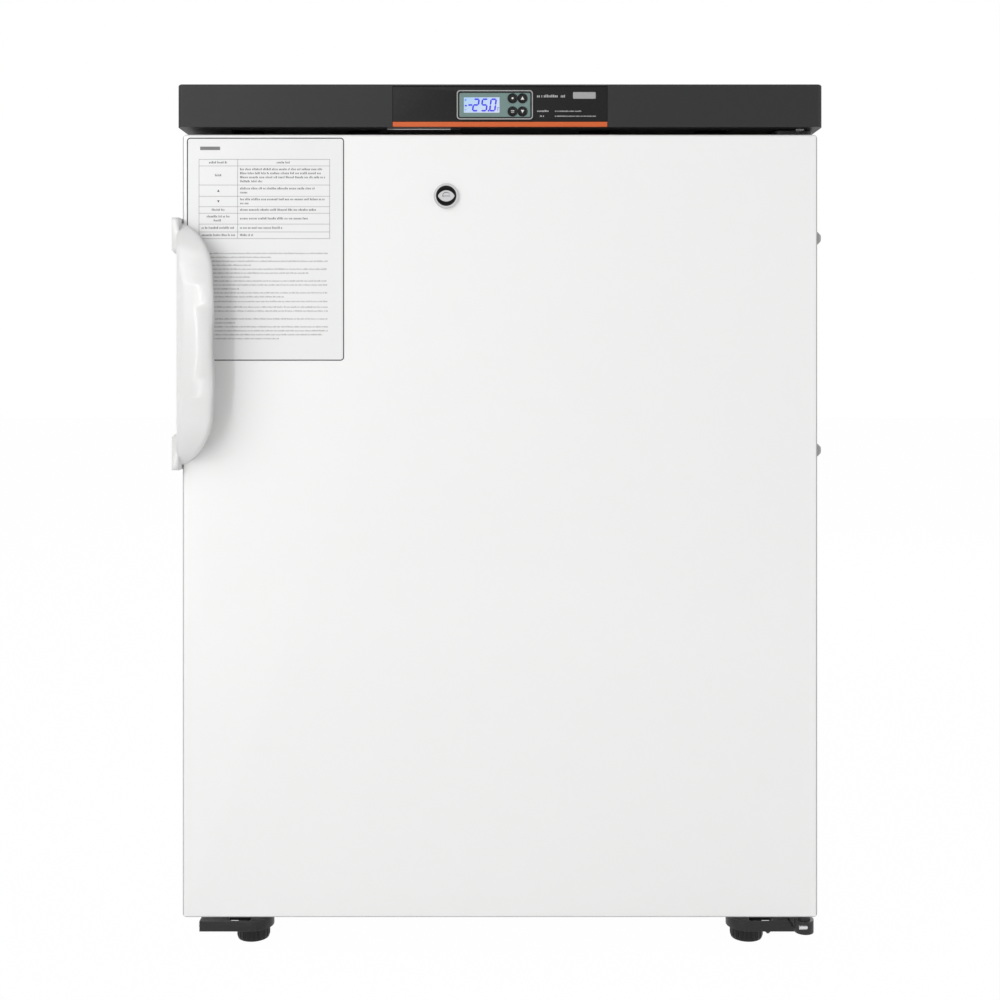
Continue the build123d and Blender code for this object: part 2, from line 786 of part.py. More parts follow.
def lock_box_form(wall):
    """The guard box round the cam, shrunk by a wall and open at the door's top edge."""
    reach = cam_length + 4.0 - wall
    return block(lock_x - reach, lock_x + cam_width / 2 + 6.0 - wall, lock_box_front() + wall,
                 cam_y() + cam_thickness + 6.0 - wall, lock_z - cam_width / 2 - 6.0 + wall,
                 door_top - sheet + (1.0 if wall else 0.0))


def lock_box():
    """Thin box that keeps the foam away from the cam."""
    box = lock_box_form(0) - lock_box_form(1.5)
    return box - along_y(lock_x, lock_z, lock_box_front() - 1, lock_box_front() + 2, lock_barrel_radius + 0.2)


def gasket():
    """Magnetic gasket: a foot, a narrow bellows and the bulb that meets the cabinet."""
    y = door_back
    rings = ((0, 4, 0), (4, 8, 5), (8, gasket_depth, 1))
    seal = None
    for near, far, shrink in rings:
        x = door_side - gasket_inset - shrink
        low, high = door_bottom + gasket_inset + shrink, door_top - gasket_inset - shrink
        thick = gasket_width - 2 * shrink
        ring = front_ring(x, low, high, x - thick, low + thick, high - thick, y + near, y + far)
        seal = ring if seal is None else seal + ring
    return seal


def bush_length():
    """Depth of a hinge bush in the door."""
    return pin_engagement + 3.0


def door_bush(top):
    """Flanged bush that a hinge pin turns in, pushed into the door's edge."""
    edge, way = (door_top, -1) if top else (door_bottom, 1)
    bush = upright(hinge_x, hinge_y, edge, edge + way * bush_length(), bush_radius)
    bush += upright(hinge_x, hinge_y, edge - way * bush_flange, edge, bush_flange_radius)
    bore_end = edge + way * (pin_engagement + 1.0)
    return bush - upright(hinge_x, hinge_y, edge - way * (bush_flange + 1), bore_end, pin_radius + pin_clearance)


def lock_housing():
    """Chromed lock barrel with a dished ring."""
    ring, bowl, barrel, bore = lock_ring_radius, lock_bowl_radius, lock_barrel_radius, lock_plug_radius
    bore += pin_clearance
    profile = Polyline(
        (bore, -lock_barrel_length), (barrel, -lock_barrel_length), (barrel, 0), (ring, 0),
        (ring, lock_ring_height - 1.4), (ring - 1.2, lock_ring_height), (bowl, lock_ring_height),
        (bowl - 3.5, lock_ring_height - 4.0), (bore, lock_ring_height - 4.6), close=True,
    )
    body = revolve(Plane.XZ * make_face(profile), axis=Axis.Z)
    return Pos(lock_x, door_face, lock_z) * Rot(90, 0, 0) * body


def lock_plug():
    """Turning plug with a key slot."""
    front = door_face - lock_ring_height + 4.2
    plug = along_y(lock_x, lock_z, front, cam_y(), lock_plug_radius)
    plug = chamfer(plug.faces().sort_by(Axis.Y)[0].edges(), 0.6)
    return plug - block(lock_x - 3.4, lock_x + 3.4, front - 1, front + 9, lock_z - 0.8, lock_z + 0.8)


def lock_cam():
    """Flat cam on the plug's back end that rises into the cover when turned."""
    arm = Pos(lock_x - cam_length / 2 + cam_width / 4, 0, lock_z) * extrude(
        Plane.XZ * SlotOverall(cam_length + cam_width / 2, cam_width), amount=-cam_thickness)
    arm = arm.moved(Pos(0, cam_y(), 0))
    return arm + along_y(lock_x, lock_z, cam_y() + cam_thickness, cam_y() + cam_thickness + 2, 3.5)


# Handle, measured from the door's face and from its own middle height
handle_left = -door_side - 1.0
grip_top = handle_height / 2 - 3.2


def handle_form(side_in, front_in, end_in, open_right):
    """The grip's form from its front, side and plan outlines; the insets give the hollow inside it."""
    left = handle_left + side_in
    edge = handle_left + handle_end_width + open_right
    middle = handle_left + handle_width + open_right
    top, shoulder = grip_top - end_in, grip_top - handle_corner
    bulge = 0.36
    corner = (left + (edge - left) * (1 - bulge), top - (top - shoulder) * bulge)
    front = make_face(
        ThreePointArc((left, top), corner, (edge, shoulder))
        + ThreePointArc((edge, shoulder), (middle, 0), (edge, -shoulder))
        + ThreePointArc((edge, -shoulder), (corner[0], -corner[1]), (left, -top))
        + Line((left, -top), (left, top))
    )
    solid = extrude(Plane.XZ * front, amount=handle_reach + 1)
    reach, near = handle_reach - front_in, handle_reach * 0.8 - front_in
    side = make_face(
        Polyline((0, top), (0, -top))
        + ThreePointArc((0, -top), (-near * (1 - bulge), -corner[1]), (-near, -shoulder))
        + ThreePointArc((-near, -shoulder), (-reach, 0), (-near, shoulder))
        + ThreePointArc((-near, shoulder), (-near * (1 - bulge), corner[1]), (0, top))
    )
    solid &= extrude(Plane.YZ.offset(left - 1) * side, amount=handle_width * 2 + open_right)
    deep = handle_reach - front_in
    plan = make_face(
        Polyline((middle + 1, 0), (left, 0), (left, -deep * 0.42))
        + ThreePointArc((left, -deep * 0.42), (left + 2.6, -deep * 0.7), (left + 9, -deep * 0.87))
        + ThreePointArc((left + 9, -deep * 0.87), (left + 17, -deep * 0.965), (left + 27, -deep))
        + ThreePointArc((left + 27, -deep), (middle - 4, -deep * 0.95), (middle + 1, -deep * 0.8))
        + Line((middle + 1, -deep * 0.8), (middle + 1, 0))
    )
    return solid & extrude(Plane.XY.offset(-handle_height) * plan, amount=2 * handle_height)


def handle():
    """Moulded handle: two pads on the door's left edge and a hollow grip that wraps to the front."""
    grip = handle_form(0, 0, 0, 0) - handle_form(handle_side_wall, handle_wall, handle_wall, 12)
    for way in (-1, 1):
        end, inner = way * handle_height / 2, way * (handle_height / 2 - pad_height)
        pad = block(-door_side - pad_thickness, -door_side, -pad_front, pad_back, end, inner)
        outer = [e for e in pad.edges().filter_by(Axis.Y) if e.center().X < -door_side - 1]
        outer.sort(key=lambda e: abs(e.center().Z))
        pad = chamfer([outer[0]], pad_thickness * 0.45)
        outer = [e for e in pad.edges().filter_by(Axis.Z) if e.center().X < -door_side - 1]
        pad = fillet(outer, 2)
        z = way * handle_screw_height / 2
        pad -= along_x(handle_screw_inset, z, -door_side - pad_thickness - 1, -door_side - pad_thickness + 3.2,
                       screw_head_radius + 0.5)
        pad -= along_x(handle_screw_inset, z, -door_side - pad_thickness, -door_side + 1, screw_shank_radius + 0.1)
        grip += pad
    return grip.moved(Pos(0, door_face, handle_centre_height))


def handle_screws():
    """Screws sunk in the handle's pads."""
    screws = []
    for way in (-1, 1):
        z = handle_centre_height + way * handle_screw_height / 2
        y = door_face + handle_screw_inset
        floor = -door_side - pad_thickness + 3.2
        head = along_x(y, z, floor - 2.6, floor, screw_head_radius)
        screws.append(head + along_x(y, z, floor, -door_side, screw_shank_radius))
    return group(screws)


def hole_plugs():
    """Raised plugs in the spare handle holes on the door's hinge side."""
    y = door_face + handle_screw_inset
    plugs = []
    for way in (-1, 1):
        z = handle_centre_height + way * handle_screw_height / 2
        plug = along_x(y, z, door_side, door_side + hole_plug_height, hole_plug_radius)
        plugs.append(chamfer(plug.faces().sort_by(Axis.X)[-1].edges(), hole_plug_height * 0.5))
    return group(plugs)


# Condenser layout
condenser_half = cabinet_side - condenser_from_side
condenser_low = bay_top + condenser_above_bay
condenser_high = cabinet_top - condenser_below_top
condenser_pitch = (condenser_high - condenser_low) / (condenser_runs - 1)
inlet_x = -condenser_half - condenser_inlet_offset
pipe_end_z = bay_top + pipe_end_above_bay


def wire_condenser():
    """Serpentine pipe with wires welded to both of its faces, behind the back panel."""
    points = [(inlet_x, condenser_y, pipe_end_z)]
    x = inlet_x
    for i in range(condenser_runs):
        z = condenser_high - i * condenser_pitch
        points.append((x, condenser_y, z))
        x = condenser_half if i % 2 == 0 else -condenser_half
        points.append((x, condenser_y, z))
    points.append((x, condenser_y, pipe_end_z))
    bend = condenser_pitch / 2 - 0.5
    solids = [tube(points, bend, condenser_tube_radius)]
    half = condenser_half - condenser_pitch / 2 - 4
    for face in (-1, 1):
        near = condenser_y + face * condenser_tube_radius
        far = near + face * condenser_wire
        for x in spaced(-half, half, condenser_wire_pitch):
            solids.append(block(x - condenser_wire / 2, x + condenser_wire / 2, near, far,
                                condenser_low - 14, condenser_high + 14))
    return group(solids)


def outlet_x():
    """X of the condenser's outlet pipe."""
    return condenser_half if condenser_runs % 2 else -condenser_half


def condenser_clips():
    """Stand-offs that hold the condenser off the back panel."""
    near = condenser_y - condenser_tube_radius - condenser_wire
    clips = []
    for x in (-condenser_half * 0.6, condenser_half * 0.6):
        for z in (condenser_low + condenser_pitch / 2, condenser_high - condenser_pitch / 2):
            clips.append(block(x - 14, x + 14, cabinet_back, near, z - 6, z + 6))
    return group(clips)


def compressor_places():
    """Centres of the compressor's rubber mounts."""
    return [(compressor_x + dx, bay_centre_y() + dy) for dx in (-82, 82) for dy in (-46, 46)]


def bay_centre_y():
    """Middle of the compressor bay from front to back."""
    return (bay_front + sheet + cabinet_back - sheet) / 2


def compressor_can_radius():
    """Radius of the compressor's lower can, where its pipes leave."""
    return compressor_radius * 0.93


def compressor_floor():
    """Underside of the compressor's mounting plate."""
    return cabinet_bottom + base_sheet + grommet_height


def compressor():
    """Hermetic compressor: two pressed cans with a seam, on a mounting plate."""
    z = compressor_floor()
    r, low_r, h = compressor_radius, compressor_can_radius(), compressor_height
    profile = Polyline((0, 4), (r * 0.62, 4), (low_r, 22), (low_r, h * 0.5), (r + 2, h * 0.5),
                       (r + 2, h * 0.5 + 5), (r, h * 0.8), (r * 0.8, h * 0.95), (0, h), close=True)
    can = revolve(Plane.XZ * make_face(profile), axis=Axis.Z)
    plate = block(-95, 95, -58, 58, 0, 3)
    plate = fillet(plate.edges().filter_by(Axis.Z), 12)
    for x, y in compressor_places():
        plate -= upright(x - compressor_x, y - bay_centre_y(), -1, 4, 5)
    can += plate + upright(0, 0, 2, 6, r * 0.55)
    return can.moved(Pos(compressor_x, bay_centre_y(), z))


def compressor_grommets():
    """Rubber mounts under the compressor's plate."""
    low = cabinet_bottom + base_sheet
    top = compressor_floor()
    return group([upright(x, y, low, top, grommet_radius) + upright(x, y, top, top + 7, 4.8)
                  for x, y in compressor_places()])


def relay_cover():
    """Cover of the starting relay on the compressor's side."""
    x = compressor_x + compressor_radius + 2
    z = compressor_floor() + compressor_height * 0.3
    y = bay_centre_y()
    cover = block(x, x + 34, y - 30, y + 30, z, z + 62)
    outer = [e for e in cover.edges() if e.center().X > x + 30]
    return fillet(outer, 5)


def discharge_line():
    """Pipe from the compressor to the condenser's inlet."""
    y, z, top = bay_centre_y(), compressor_floor() + compressor_height * 0.42, discharge_height()
    start = compressor_x - compressor_can_radius()
    points = [(start, y, z), (start - 60, y, z), (start - 60, y, top), (inlet_x, y, top),
              (inlet_x, condenser_y, top), (inlet_x, condenser_y, pipe_end_z)]
    return tube(points, 14, condenser_tube_radius)


def discharge_height():
    """Height at which the discharge line leaves the bay."""
    return compressor_floor() + compressor_height * 0.42 + discharge_rise


def suction_line():
    """Pipe from the foam above the bay to the compressor."""
    x, z = compressor_x, compressor_floor() + compressor_height * 0.36
    start = bay_centre_y() - compressor_can_radius()
    points = [(x, start, z), (x, start - 22, z), (x, start - 22, bay_top - sheet)]
    return tube(points, 14, evaporator_tube_radius)


def filter_drier():
    """Copper filter drier under the condenser's outlet, with the capillary that leads into the bay."""
    x, top, low, r = outlet_x(), pipe_end_z, pipe_end_z - drier_length, drier_radius
    neck = condenser_tube_radius + 0.6
    profile = Polyline((0, 0), (neck, 0), (neck, -8), (r, -16), (r, 10 - drier_length),
                       (capillary_radius + 1, -drier_length), (0, -drier_length), close=True)
    body = revolve(Plane.XZ * make_face(profile), axis=Axis.Z).moved(Pos(x, condenser_y, top))
    y_in, turn = bay_centre_y() + 40, capillary_height()
    capillary = tube([(x, condenser_y, low), (x, condenser_y, turn), (x, y_in, turn),
                      (x, y_in, bay_top - sheet)], 7, capillary_radius)
    return body + capillary


def capillary_height():
    """Height at which the capillary goes into the bay."""
    return pipe_end_z - drier_length - capillary_drop


def rear_grille():
    """Louvred sheet over the back of the compressor bay, with holes for the pipes and the gland."""
    inside = cabinet_side - sheet
    low = cabinet_bottom + base_sheet
    high = bay_top - sheet
    panel = block(-inside, inside, cabinet_back - sheet, cabinet_back, low, high)
    for x in louvre_columns:
        for z in spaced(low + 36, high - 40, louvre_pitch):
            panel -= block(x - louvre_length / 2, x + louvre_length / 2, cabinet_back - 2, cabinet_back + 1,
                           z - louvre_width / 2, z + louvre_width / 2)
    near, far = cabinet_back - 3, cabinet_back + 2
    panel -= along_y(inlet_x, discharge_height(), near, far, condenser_tube_radius + 3)
    panel -= along_y(outlet_x(), capillary_height(), near, far, capillary_radius + 3.5)
    return panel - along_y(gland_x(), gland_z(), near, far, gland_radius + 0.2)


def gland_x():
    """X of the mains gland."""
    return -cabinet_side + gland_from_side


def gland_z():
    """Height of the mains gland."""
    return cabinet_bottom + gland_above_base


def mains_gland():
    """Gland that the mains lead comes out of."""
    r, bore = gland_radius, gland_radius / 2
    profile = Polyline((bore, -12), (r, -12), (r, 0), (r + 3, 0), (r + 3, 4), (r - 1, 14), (bore, 14), close=True)
    body = revolve(Plane.XZ * make_face(profile), axis=Axis.Z)
    return Pos(gland_x(), cabinet_back, gland_z()) * Rot(-90, 0, 0) * body


def pieces():
    """Every node of the freezer by name."""
    named = {
        "outer_shell": outer_shell(),
        "base_plate": base_plate(),
        "back_panel": back_panel(),
        "compartment_panel": compartment_panel(),
        "cabinet_foam": cabinet_foam(),
        "inner_liner": inner_liner(),
        "temperature_probe": temperature_probe(),
        "top_cover": top_cover(),
        "control_panel": control_panel(),
        "accent_strip": accent_strip(),
        "display_bezel": display_bezel(),
        "display_plate": display_plate(),
        "lcd_screen": lcd_screen(),
        "controller_module": controller_module(),
        "strike_plate": strike_plate(),
        "top_hinge_bracket": top_hinge_bracket(),
        "bottom_hinge_bracket": bottom_hinge_bracket(),
        "left_foot_bracket": foot_bracket(-1),
        "fixing_screws": fixing_screws(),
        "roller_brackets": roller_brackets(),
        "wire_condenser": wire_condenser(),
        "condenser_clips": condenser_clips(),
        "compressor": compressor(),
        "compressor_grommets": compressor_grommets(),
        "relay_cover": relay_cover(),
        "discharge_line": discharge_line(),
        "suction_line": suction_line(),
        "filter_drier": filter_drier(),
        "rear_grille": rear_grille(),
        "mains_gland": mains_gland(),
        "door_panel": door_panel(),
        "door_foam": door_foam(),
        "door_liner": door_liner(),
        "door_gasket": gasket(),
        "top_door_bush": door_bush(True),
        "bottom_door_bush": door_bush(False),
        "handle": handle(),
        "handle_screws": handle_screws(),
        "hole_plugs": hole_plugs(),
        "lock_housing": lock_housing(),
        "lock_box": lock_box(),
        "lock_plug": lock_plug(),
        "lock_cam": lock_cam(),
        "left_foot": levelling_foot(-1),
        "right_foot": levelling_foot(1),
        "left_roller": roller(-1),
        "right_roller": roller(1),
    }
    for index in range(shelf_count):
        named[f"evaporator_shelf_{index + 1}"] = evaporator_shelf(index)
    bottoms = drawer_bottoms()
    for number, bottom in enumerate(bottoms, start=1):
        low = number == len(bottoms)
        height, back = (low_drawer_height, low_drawer_back) if low else (drawer_height, drawer_back)
        named[f"drawer_{number}"] = drawer(bottom, height, back)
    for name in button_places():
        named[name] = button(name)
    return named


os.makedirs("parts", exist_ok=True)
for node, shape in pieces().items():
    export_step(shape, f"parts/{node}.step")
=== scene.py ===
"""Looks of the laboratory freezer: finishes, label, display, pipes, fasteners, light and camera.

Metres, in the model's own frame: X to the right as seen from the front, Y to the back, Z up from the floor.
"""

import json
import math
import random

import bpy
from mathutils import Matrix, Vector


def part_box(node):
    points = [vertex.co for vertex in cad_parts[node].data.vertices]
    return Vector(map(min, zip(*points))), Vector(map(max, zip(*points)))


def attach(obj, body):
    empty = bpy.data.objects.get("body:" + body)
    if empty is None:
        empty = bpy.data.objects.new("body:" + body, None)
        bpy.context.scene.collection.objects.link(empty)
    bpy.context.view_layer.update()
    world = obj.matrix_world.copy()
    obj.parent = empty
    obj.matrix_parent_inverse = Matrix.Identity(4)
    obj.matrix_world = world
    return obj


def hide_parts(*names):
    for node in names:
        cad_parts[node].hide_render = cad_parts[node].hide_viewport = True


MM = 0.001

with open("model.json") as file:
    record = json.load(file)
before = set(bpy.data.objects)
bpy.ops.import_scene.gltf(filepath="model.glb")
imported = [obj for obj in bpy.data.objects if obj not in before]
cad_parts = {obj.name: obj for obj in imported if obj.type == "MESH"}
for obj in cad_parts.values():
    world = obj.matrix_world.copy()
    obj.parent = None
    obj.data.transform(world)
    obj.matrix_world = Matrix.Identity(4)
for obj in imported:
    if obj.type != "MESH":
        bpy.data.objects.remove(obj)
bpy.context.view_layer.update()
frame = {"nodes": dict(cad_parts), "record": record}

# Camera, from the photograph's vanishing point and the object's real width
camera_back = 1552.3 * MM
camera_height = 563.3 * MM
camera_lens = 50.0
camera_sensor = 36.0
camera_shift = -0.14

# Places read from the fixed frame
door_low, door_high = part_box("door_panel")
liner_low, liner_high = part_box("inner_liner")
bezel_low, bezel_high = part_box("display_bezel")
screen_low, screen_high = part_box("lcd_screen")
grille_low, grille_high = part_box("rear_grille")
back_low, back_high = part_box("back_panel")
gasket_low, gasket_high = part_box("door_gasket")
cover_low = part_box("top_cover")[0]
panel_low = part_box("control_panel")[0]
plate_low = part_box("display_plate")[0]

# Inks and films: the gap or overlap at what they are printed on, and their thickness
print_lift = 0.03 * MM
print_depth = 0.05 * MM

# Painted shade in a fine grey line on the door's folded edge: width, where it is full, and where its fade to
# the back runs
edge_shade_width = 1.7 * MM
edge_shade_full = 0.6 * edge_shade_width
edge_shade_fade_start = 2 * edge_shade_width
edge_shade_fade_end = 4 * edge_shade_width


# Node helpers


def add(tree, kind, inputs=None, **settings):
    """A node of any kind with its settings, and its inputs set or linked by name or place."""
    node = tree.nodes.new(kind)
    for name, value in settings.items():
        setattr(node, name, value)
    for name, value in (inputs or {}).items():
        if isinstance(value, bpy.types.NodeSocket):
            tree.links.new(value, node.inputs[name])
        else:
            node.inputs[name].default_value = value
    return node


def put(tree, kind, inputs=None, **settings):
    """A shader node."""
    return add(tree, "ShaderNode" + kind, inputs, **settings)


def sums(tree, operation, *values):
    """The result of a maths node."""
    return put(tree, "Math", dict(enumerate(values)), operation=operation).outputs[0]


def times(tree, first, second):
    """The product of two numbers or sockets."""
    return sums(tree, "MULTIPLY", first, second)


def blend_colours(tree, share, first, second):
    """First colour where share is 0 and second where it is 1."""
    return put(tree, "Mix", {0: share, 6: first, 7: second}, data_type="RGBA").outputs[2]


def ramp(tree, value, start, end, low=0.0, high=1.0):
    """A value carried over from one range to another, and kept within it."""
    inputs = dict(enumerate((value, start, end, low, high)))
    return put(tree, "MapRange", inputs).outputs["Result"]


def place_in_frame(tree):
    """The shaded point in the model's own frame."""
    return put(tree, "TexCoord").outputs["Object"]


def noise(tree, size, detail=2.0, place=None):
    """Soft noise from 0 to 1 with patches of a size in metres."""
    place = place or place_in_frame(tree)
    scale = sums(tree, "DIVIDE", 1.0, size)
    return put(tree, "TexNoise", {"Vector": place, "Scale": scale, "Detail": detail}).outputs["Fac"]


def cells(tree, size, **settings):
    """Cells of a size in metres."""
    scale = sums(tree, "DIVIDE", 1.0, size)
    return put(tree, "TexVoronoi", {"Vector": place_in_frame(tree), "Scale": scale}, **settings).outputs


def grey(level):
    """An opaque neutral colour."""
    return (level, level, level, 1.0)


# Effects that several finishes share: each function fills the group of its name


def tone_drift(tree, given):
    """Slow drift of a colour's brightness over the surface."""
    swing = sums(tree, "MULTIPLY_ADD", noise(tree, given["Patch"]), 2.0, -1.0)
    gain = sums(tree, "MULTIPLY_ADD", swing, given["Amount"], 1.0)
    return put(tree, "VectorMath", {"Vector": given["Color"], "Scale": gain}, operation="SCALE").outputs[0]


def gloss_drift(tree, given):
    """Slow drift of roughness, as wiping and handling leave it."""
    swing = sums(tree, "MULTIPLY_ADD", noise(tree, given["Patch"], 4.0), 2.0, -1.0)
    return sums(tree, "MULTIPLY_ADD", swing, given["Amount"], given["Roughness"])


def paint_peel(tree, given):
    """The shallow waves of sprayed and baked paint, as a height."""
    broad = noise(tree, given["Wave"], 1.0)
    fine = noise(tree, times(tree, given["Wave"], 0.3), 0.0)
    return sums(tree, "MULTIPLY_ADD", fine, 0.3, broad)


def spark_grain(tree, given):
    """The fine even texture of a spark-eroded mould, as a height."""
    return cells(tree, given["Grain"], feature="SMOOTH_F1")["Distance"]


def speckle(tree, given):
    """Fine specks of another colour."""
    floor = sums(tree, "SUBTRACT", 1.0, given["Share"])
    share = ramp(tree, noise(tree, given["Size"], 3.0), floor, 0.85)
    return blend_colours(tree, share, given["Color"], given["Speck"])


def spangle(tree, given):
    """The crystal patches of hot-dip galvanising, as a mask from 0 to 1."""
    shade = put(tree, "SeparateColor", {"Color": cells(tree, given["Crystal"])["Color"]}).outputs[0]
    flecks = noise(tree, times(tree, given["Crystal"], 0.25))
    return sums(tree, "MULTIPLY_ADD", flecks, 0.35, times(tree, shade, 0.65))


def brush_lines(tree, given):
    """Lines of a drawn or turned metal along one axis, as a mask from 0 to 1."""
    drawn = put(tree, "VectorMath", {0: place_in_frame(tree), 1: given["Across"]}, operation="MULTIPLY")
    return noise(tree, given["Width"], 3.0, drawn.outputs[0])


def covered(tree, given, mask, over):
    """The given colour with another over it by a mask and the given amount."""
    share = put(tree, "Clamp", {"Value": times(tree, mask, given["Amount"])}).outputs[0]
    return blend_colours(tree, share, given["Color"], over)


def edge_lightening(tree, given):
    """Colour that is lighter along the edges."""
    rounded = put(tree, "Bevel", {"Radius": given["Width"]}, samples=4).outputs[0]
    flat = put(tree, "NewGeometry").outputs["Normal"]
    match = put(tree, "VectorMath", {0: rounded, 1: flat}, operation="DOT_PRODUCT").outputs["Value"]
    turned = times(tree, sums(tree, "SUBTRACT", 1.0, match), 4.0)
    return covered(tree, given, times(tree, turned, noise(tree, 4 * MM, 3.0)), given["Rubbed"])


def settled_dust(tree, given):
    """A thin film of dust on what faces up."""
    up = put(tree, "SeparateXYZ", {"Vector": put(tree, "NewGeometry").outputs["Normal"]}).outputs["Z"]
    film = times(tree, sums(tree, "MAXIMUM", up, 0.0), noise(tree, 10 * MM, 4.0))
    return covered(tree, given, film, given["Dust"])


effects = {}


def new_group(fill, output, **inputs):
    """A node group with named inputs, their defaults and one output, filled by a function."""
    tree = bpy.data.node_groups.new(fill.__name__, "ShaderNodeTree")
    for label, default in inputs.items():
        kind = {3: "Vector", 4: "Color"}[len(default)] if isinstance(default, tuple) else "Float"
        socket = tree.interface.new_socket(name=label, in_out="INPUT", socket_type="NodeSocket" + kind)
        socket.default_value = default
    kind = "Color" if output == "Color" else "Float"
    tree.interface.new_socket(name=output, in_out="OUTPUT", socket_type="NodeSocket" + kind)
    given, out = tree.nodes.new("NodeGroupInput").outputs, tree.nodes.new("NodeGroupOutput")
    tree.links.new(fill(tree, given), out.inputs[output])
    effects[fill.__name__] = tree


new_group(tone_drift, "Color", Color=grey(0.5), Amount=0.03, Patch=0.08)
new_group(gloss_drift, "Roughness", Roughness=0.4, Amount=0.05, Patch=0.03)
new_group(paint_peel, "Height", Wave=0.003)
new_group(spark_grain, "Height", Grain=0.0006)
new_group(speckle, "Color", Color=grey(0.5), Speck=grey(0.8), Size=0.0008, Share=0.35)
new_group(spangle, "Mask", Crystal=0.009)
new_group(brush_lines, "Mask", Across=(1.0, 1.0, 0.02), Width=0.0004)
new_group(edge_lightening, "Color", Color=grey(0.1), Rubbed=grey(0.4), Width=0.0006, Amount=0.5)
new_group(settled_dust, "Color", Color=grey(0.1), Dust=(0.35, 0.33, 0.3, 1), Amount=0.3)


def effect(tree, name, **inputs):
    """One of the shared effects placed in a material, with its own values."""
    return put(tree, "Group", inputs, node_tree=effects[name]).outputs[0]


# Finishes: shader constants have the names of the shader's sockets, and lengths are in metres


def new_finish(name, **constants):
    """A material, its node tree and the inputs of its one Principled shader."""
    material = bpy.data.materials.new(name)
    material.use_nodes = True
    shader = material.node_tree.nodes["Principled BSDF"]
    for label, value in constants.items():
        shader.inputs[label.replace("_", " ")].default_value = value
    return material, material.node_tree, shader.inputs


def set_colour(tree, shader, colour, amount, patch):
    """Base colour with a slow drift in tone."""
    drifting = effect(tree, "tone_drift", Color=colour, Amount=amount, Patch=patch)
    tree.links.new(drifting, shader["Base Color"])


def set_gloss(tree, shader, roughness, amount, patch):
    """Roughness with a slow drift."""
    drifting = effect(tree, "gloss_drift", Roughness=roughness, Amount=amount, Patch=patch)
    tree.links.new(drifting, shader["Roughness"])


def set_relief(tree, shader, kind, size, depth, strength, rounding=None):
    """Bump of an effect or of noise with a given detail, over creases rounded to a radius."""
    if kind == "paint_peel":
        height = effect(tree, kind, Wave=size)
    elif kind == "spark_grain":
        height = effect(tree, kind, Grain=size)
    else:
        height = noise(tree, size, kind)
    bump = put(tree, "Bump", {"Height": height, "Distance": depth, "Strength": strength})
    if rounding:
        rounded = put(tree, "Bevel", {"Radius": rounding}, samples=8)
        tree.links.new(rounded.outputs["Normal"], bump.inputs["Normal"])
    tree.links.new(bump.outputs["Normal"], shader["Normal"])


def set_streaked_gloss(tree, shader, mask, low, high):
    """Roughness that runs between two levels with a mask."""
    tree.links.new(ramp(tree, mask, 0.0, 1.0, low, high), shader["Roughness"])


def set_glow(tree, shader, colour):
    """One colour for both the surface and its own light."""
    tree.links.new(colour, shader["Base Color"])
    tree.links.new(colour, shader["Emission Color"])


def plain(name, colour, drift, gloss, relief=None, **constants):
    """One colour: drift (amount, patch), gloss (roughness, amount, patch) and relief as above."""
    material, tree, shader = new_finish(name, **constants)
    set_colour(tree, shader, (*colour, 1.0), *drift)
    set_gloss(tree, shader, *gloss)
    if relief:
        set_relief(tree, shader, *relief)
    return material


def white_paint_and_edge_shade():
    """Baked white paint on steel sheet, with painted shade in a fine grey line round the door's folded edge.
    """
    material, tree, shader = new_finish("white_paint_and_edge_shade", Coat_Weight=0.25, Coat_Roughness=0.12)
    place = put(tree, "SeparateXYZ", {"Vector": place_in_frame(tree)}).outputs
    beside = sums(tree, "ABSOLUTE", place["X"])
    # Painted shade: grey in a fine line along the door's sides and foot, fading out towards its back
    near_side = ramp(tree, beside, door_high.x - edge_shade_width, door_high.x - edge_shade_full)
    near_foot = ramp(tree, place["Z"], door_low.z + edge_shade_width, door_low.z + edge_shade_full)
    near_front = ramp(tree, place["Y"], door_low.y + edge_shade_fade_end, door_low.y + edge_shade_fade_start)
    line = times(tree, sums(tree, "MAXIMUM", near_side, near_foot), near_front)
    edge_shaded_colour = blend_colours(tree, line, (0.85, 0.85, 0.845, 1.0), grey(0.38))
    set_colour(tree, shader, edge_shaded_colour, 0.006, 0.3)
    set_gloss(tree, shader, 0.42, 0.03, 0.12)
    set_relief(tree, shader, "paint_peel", 0.0035, 0.00003, 0.25)
    return material


def galvanised():
    """Hot-dip galvanised sheet with its crystals."""
    material, tree, shader = new_finish("galvanised", Metallic=1.0)
    mask = effect(tree, "spangle", Crystal=0.008)
    crystals = blend_colours(tree, mask, (0.52, 0.53, 0.54, 1.0), (0.72, 0.73, 0.74, 1.0))
    tree.links.new(crystals, shader["Base Color"])
    set_streaked_gloss(tree, shader, mask, 0.5, 0.3)
    return material


def panel_plastic():
    """Near-black panel with a speckled matt finish."""
    material, tree, shader = new_finish("panel_plastic", Specular_IOR_Level=0.22)
    specks = effect(tree, "speckle", Color=grey(0.0055), Speck=grey(0.022), Size=0.0009, Share=0.42)
    tree.links.new(specks, shader["Base Color"])
    set_gloss(tree, shader, 0.45, 0.05, 0.01)
    set_relief(tree, shader, "spark_grain", 0.0009, 0.00015, 0.6)
    return material


def brushed(name, metallic, colour, drift, across, width, low, high):
    """Metal with drawn lines: across scales the place so that they run along one axis."""
    material, tree, shader = new_finish(name, Metallic=metallic)
    set_colour(tree, shader, colour, *drift)
    set_streaked_gloss(tree, shader, effect(tree, "brush_lines", Across=across, Width=width), low, high)
    return material


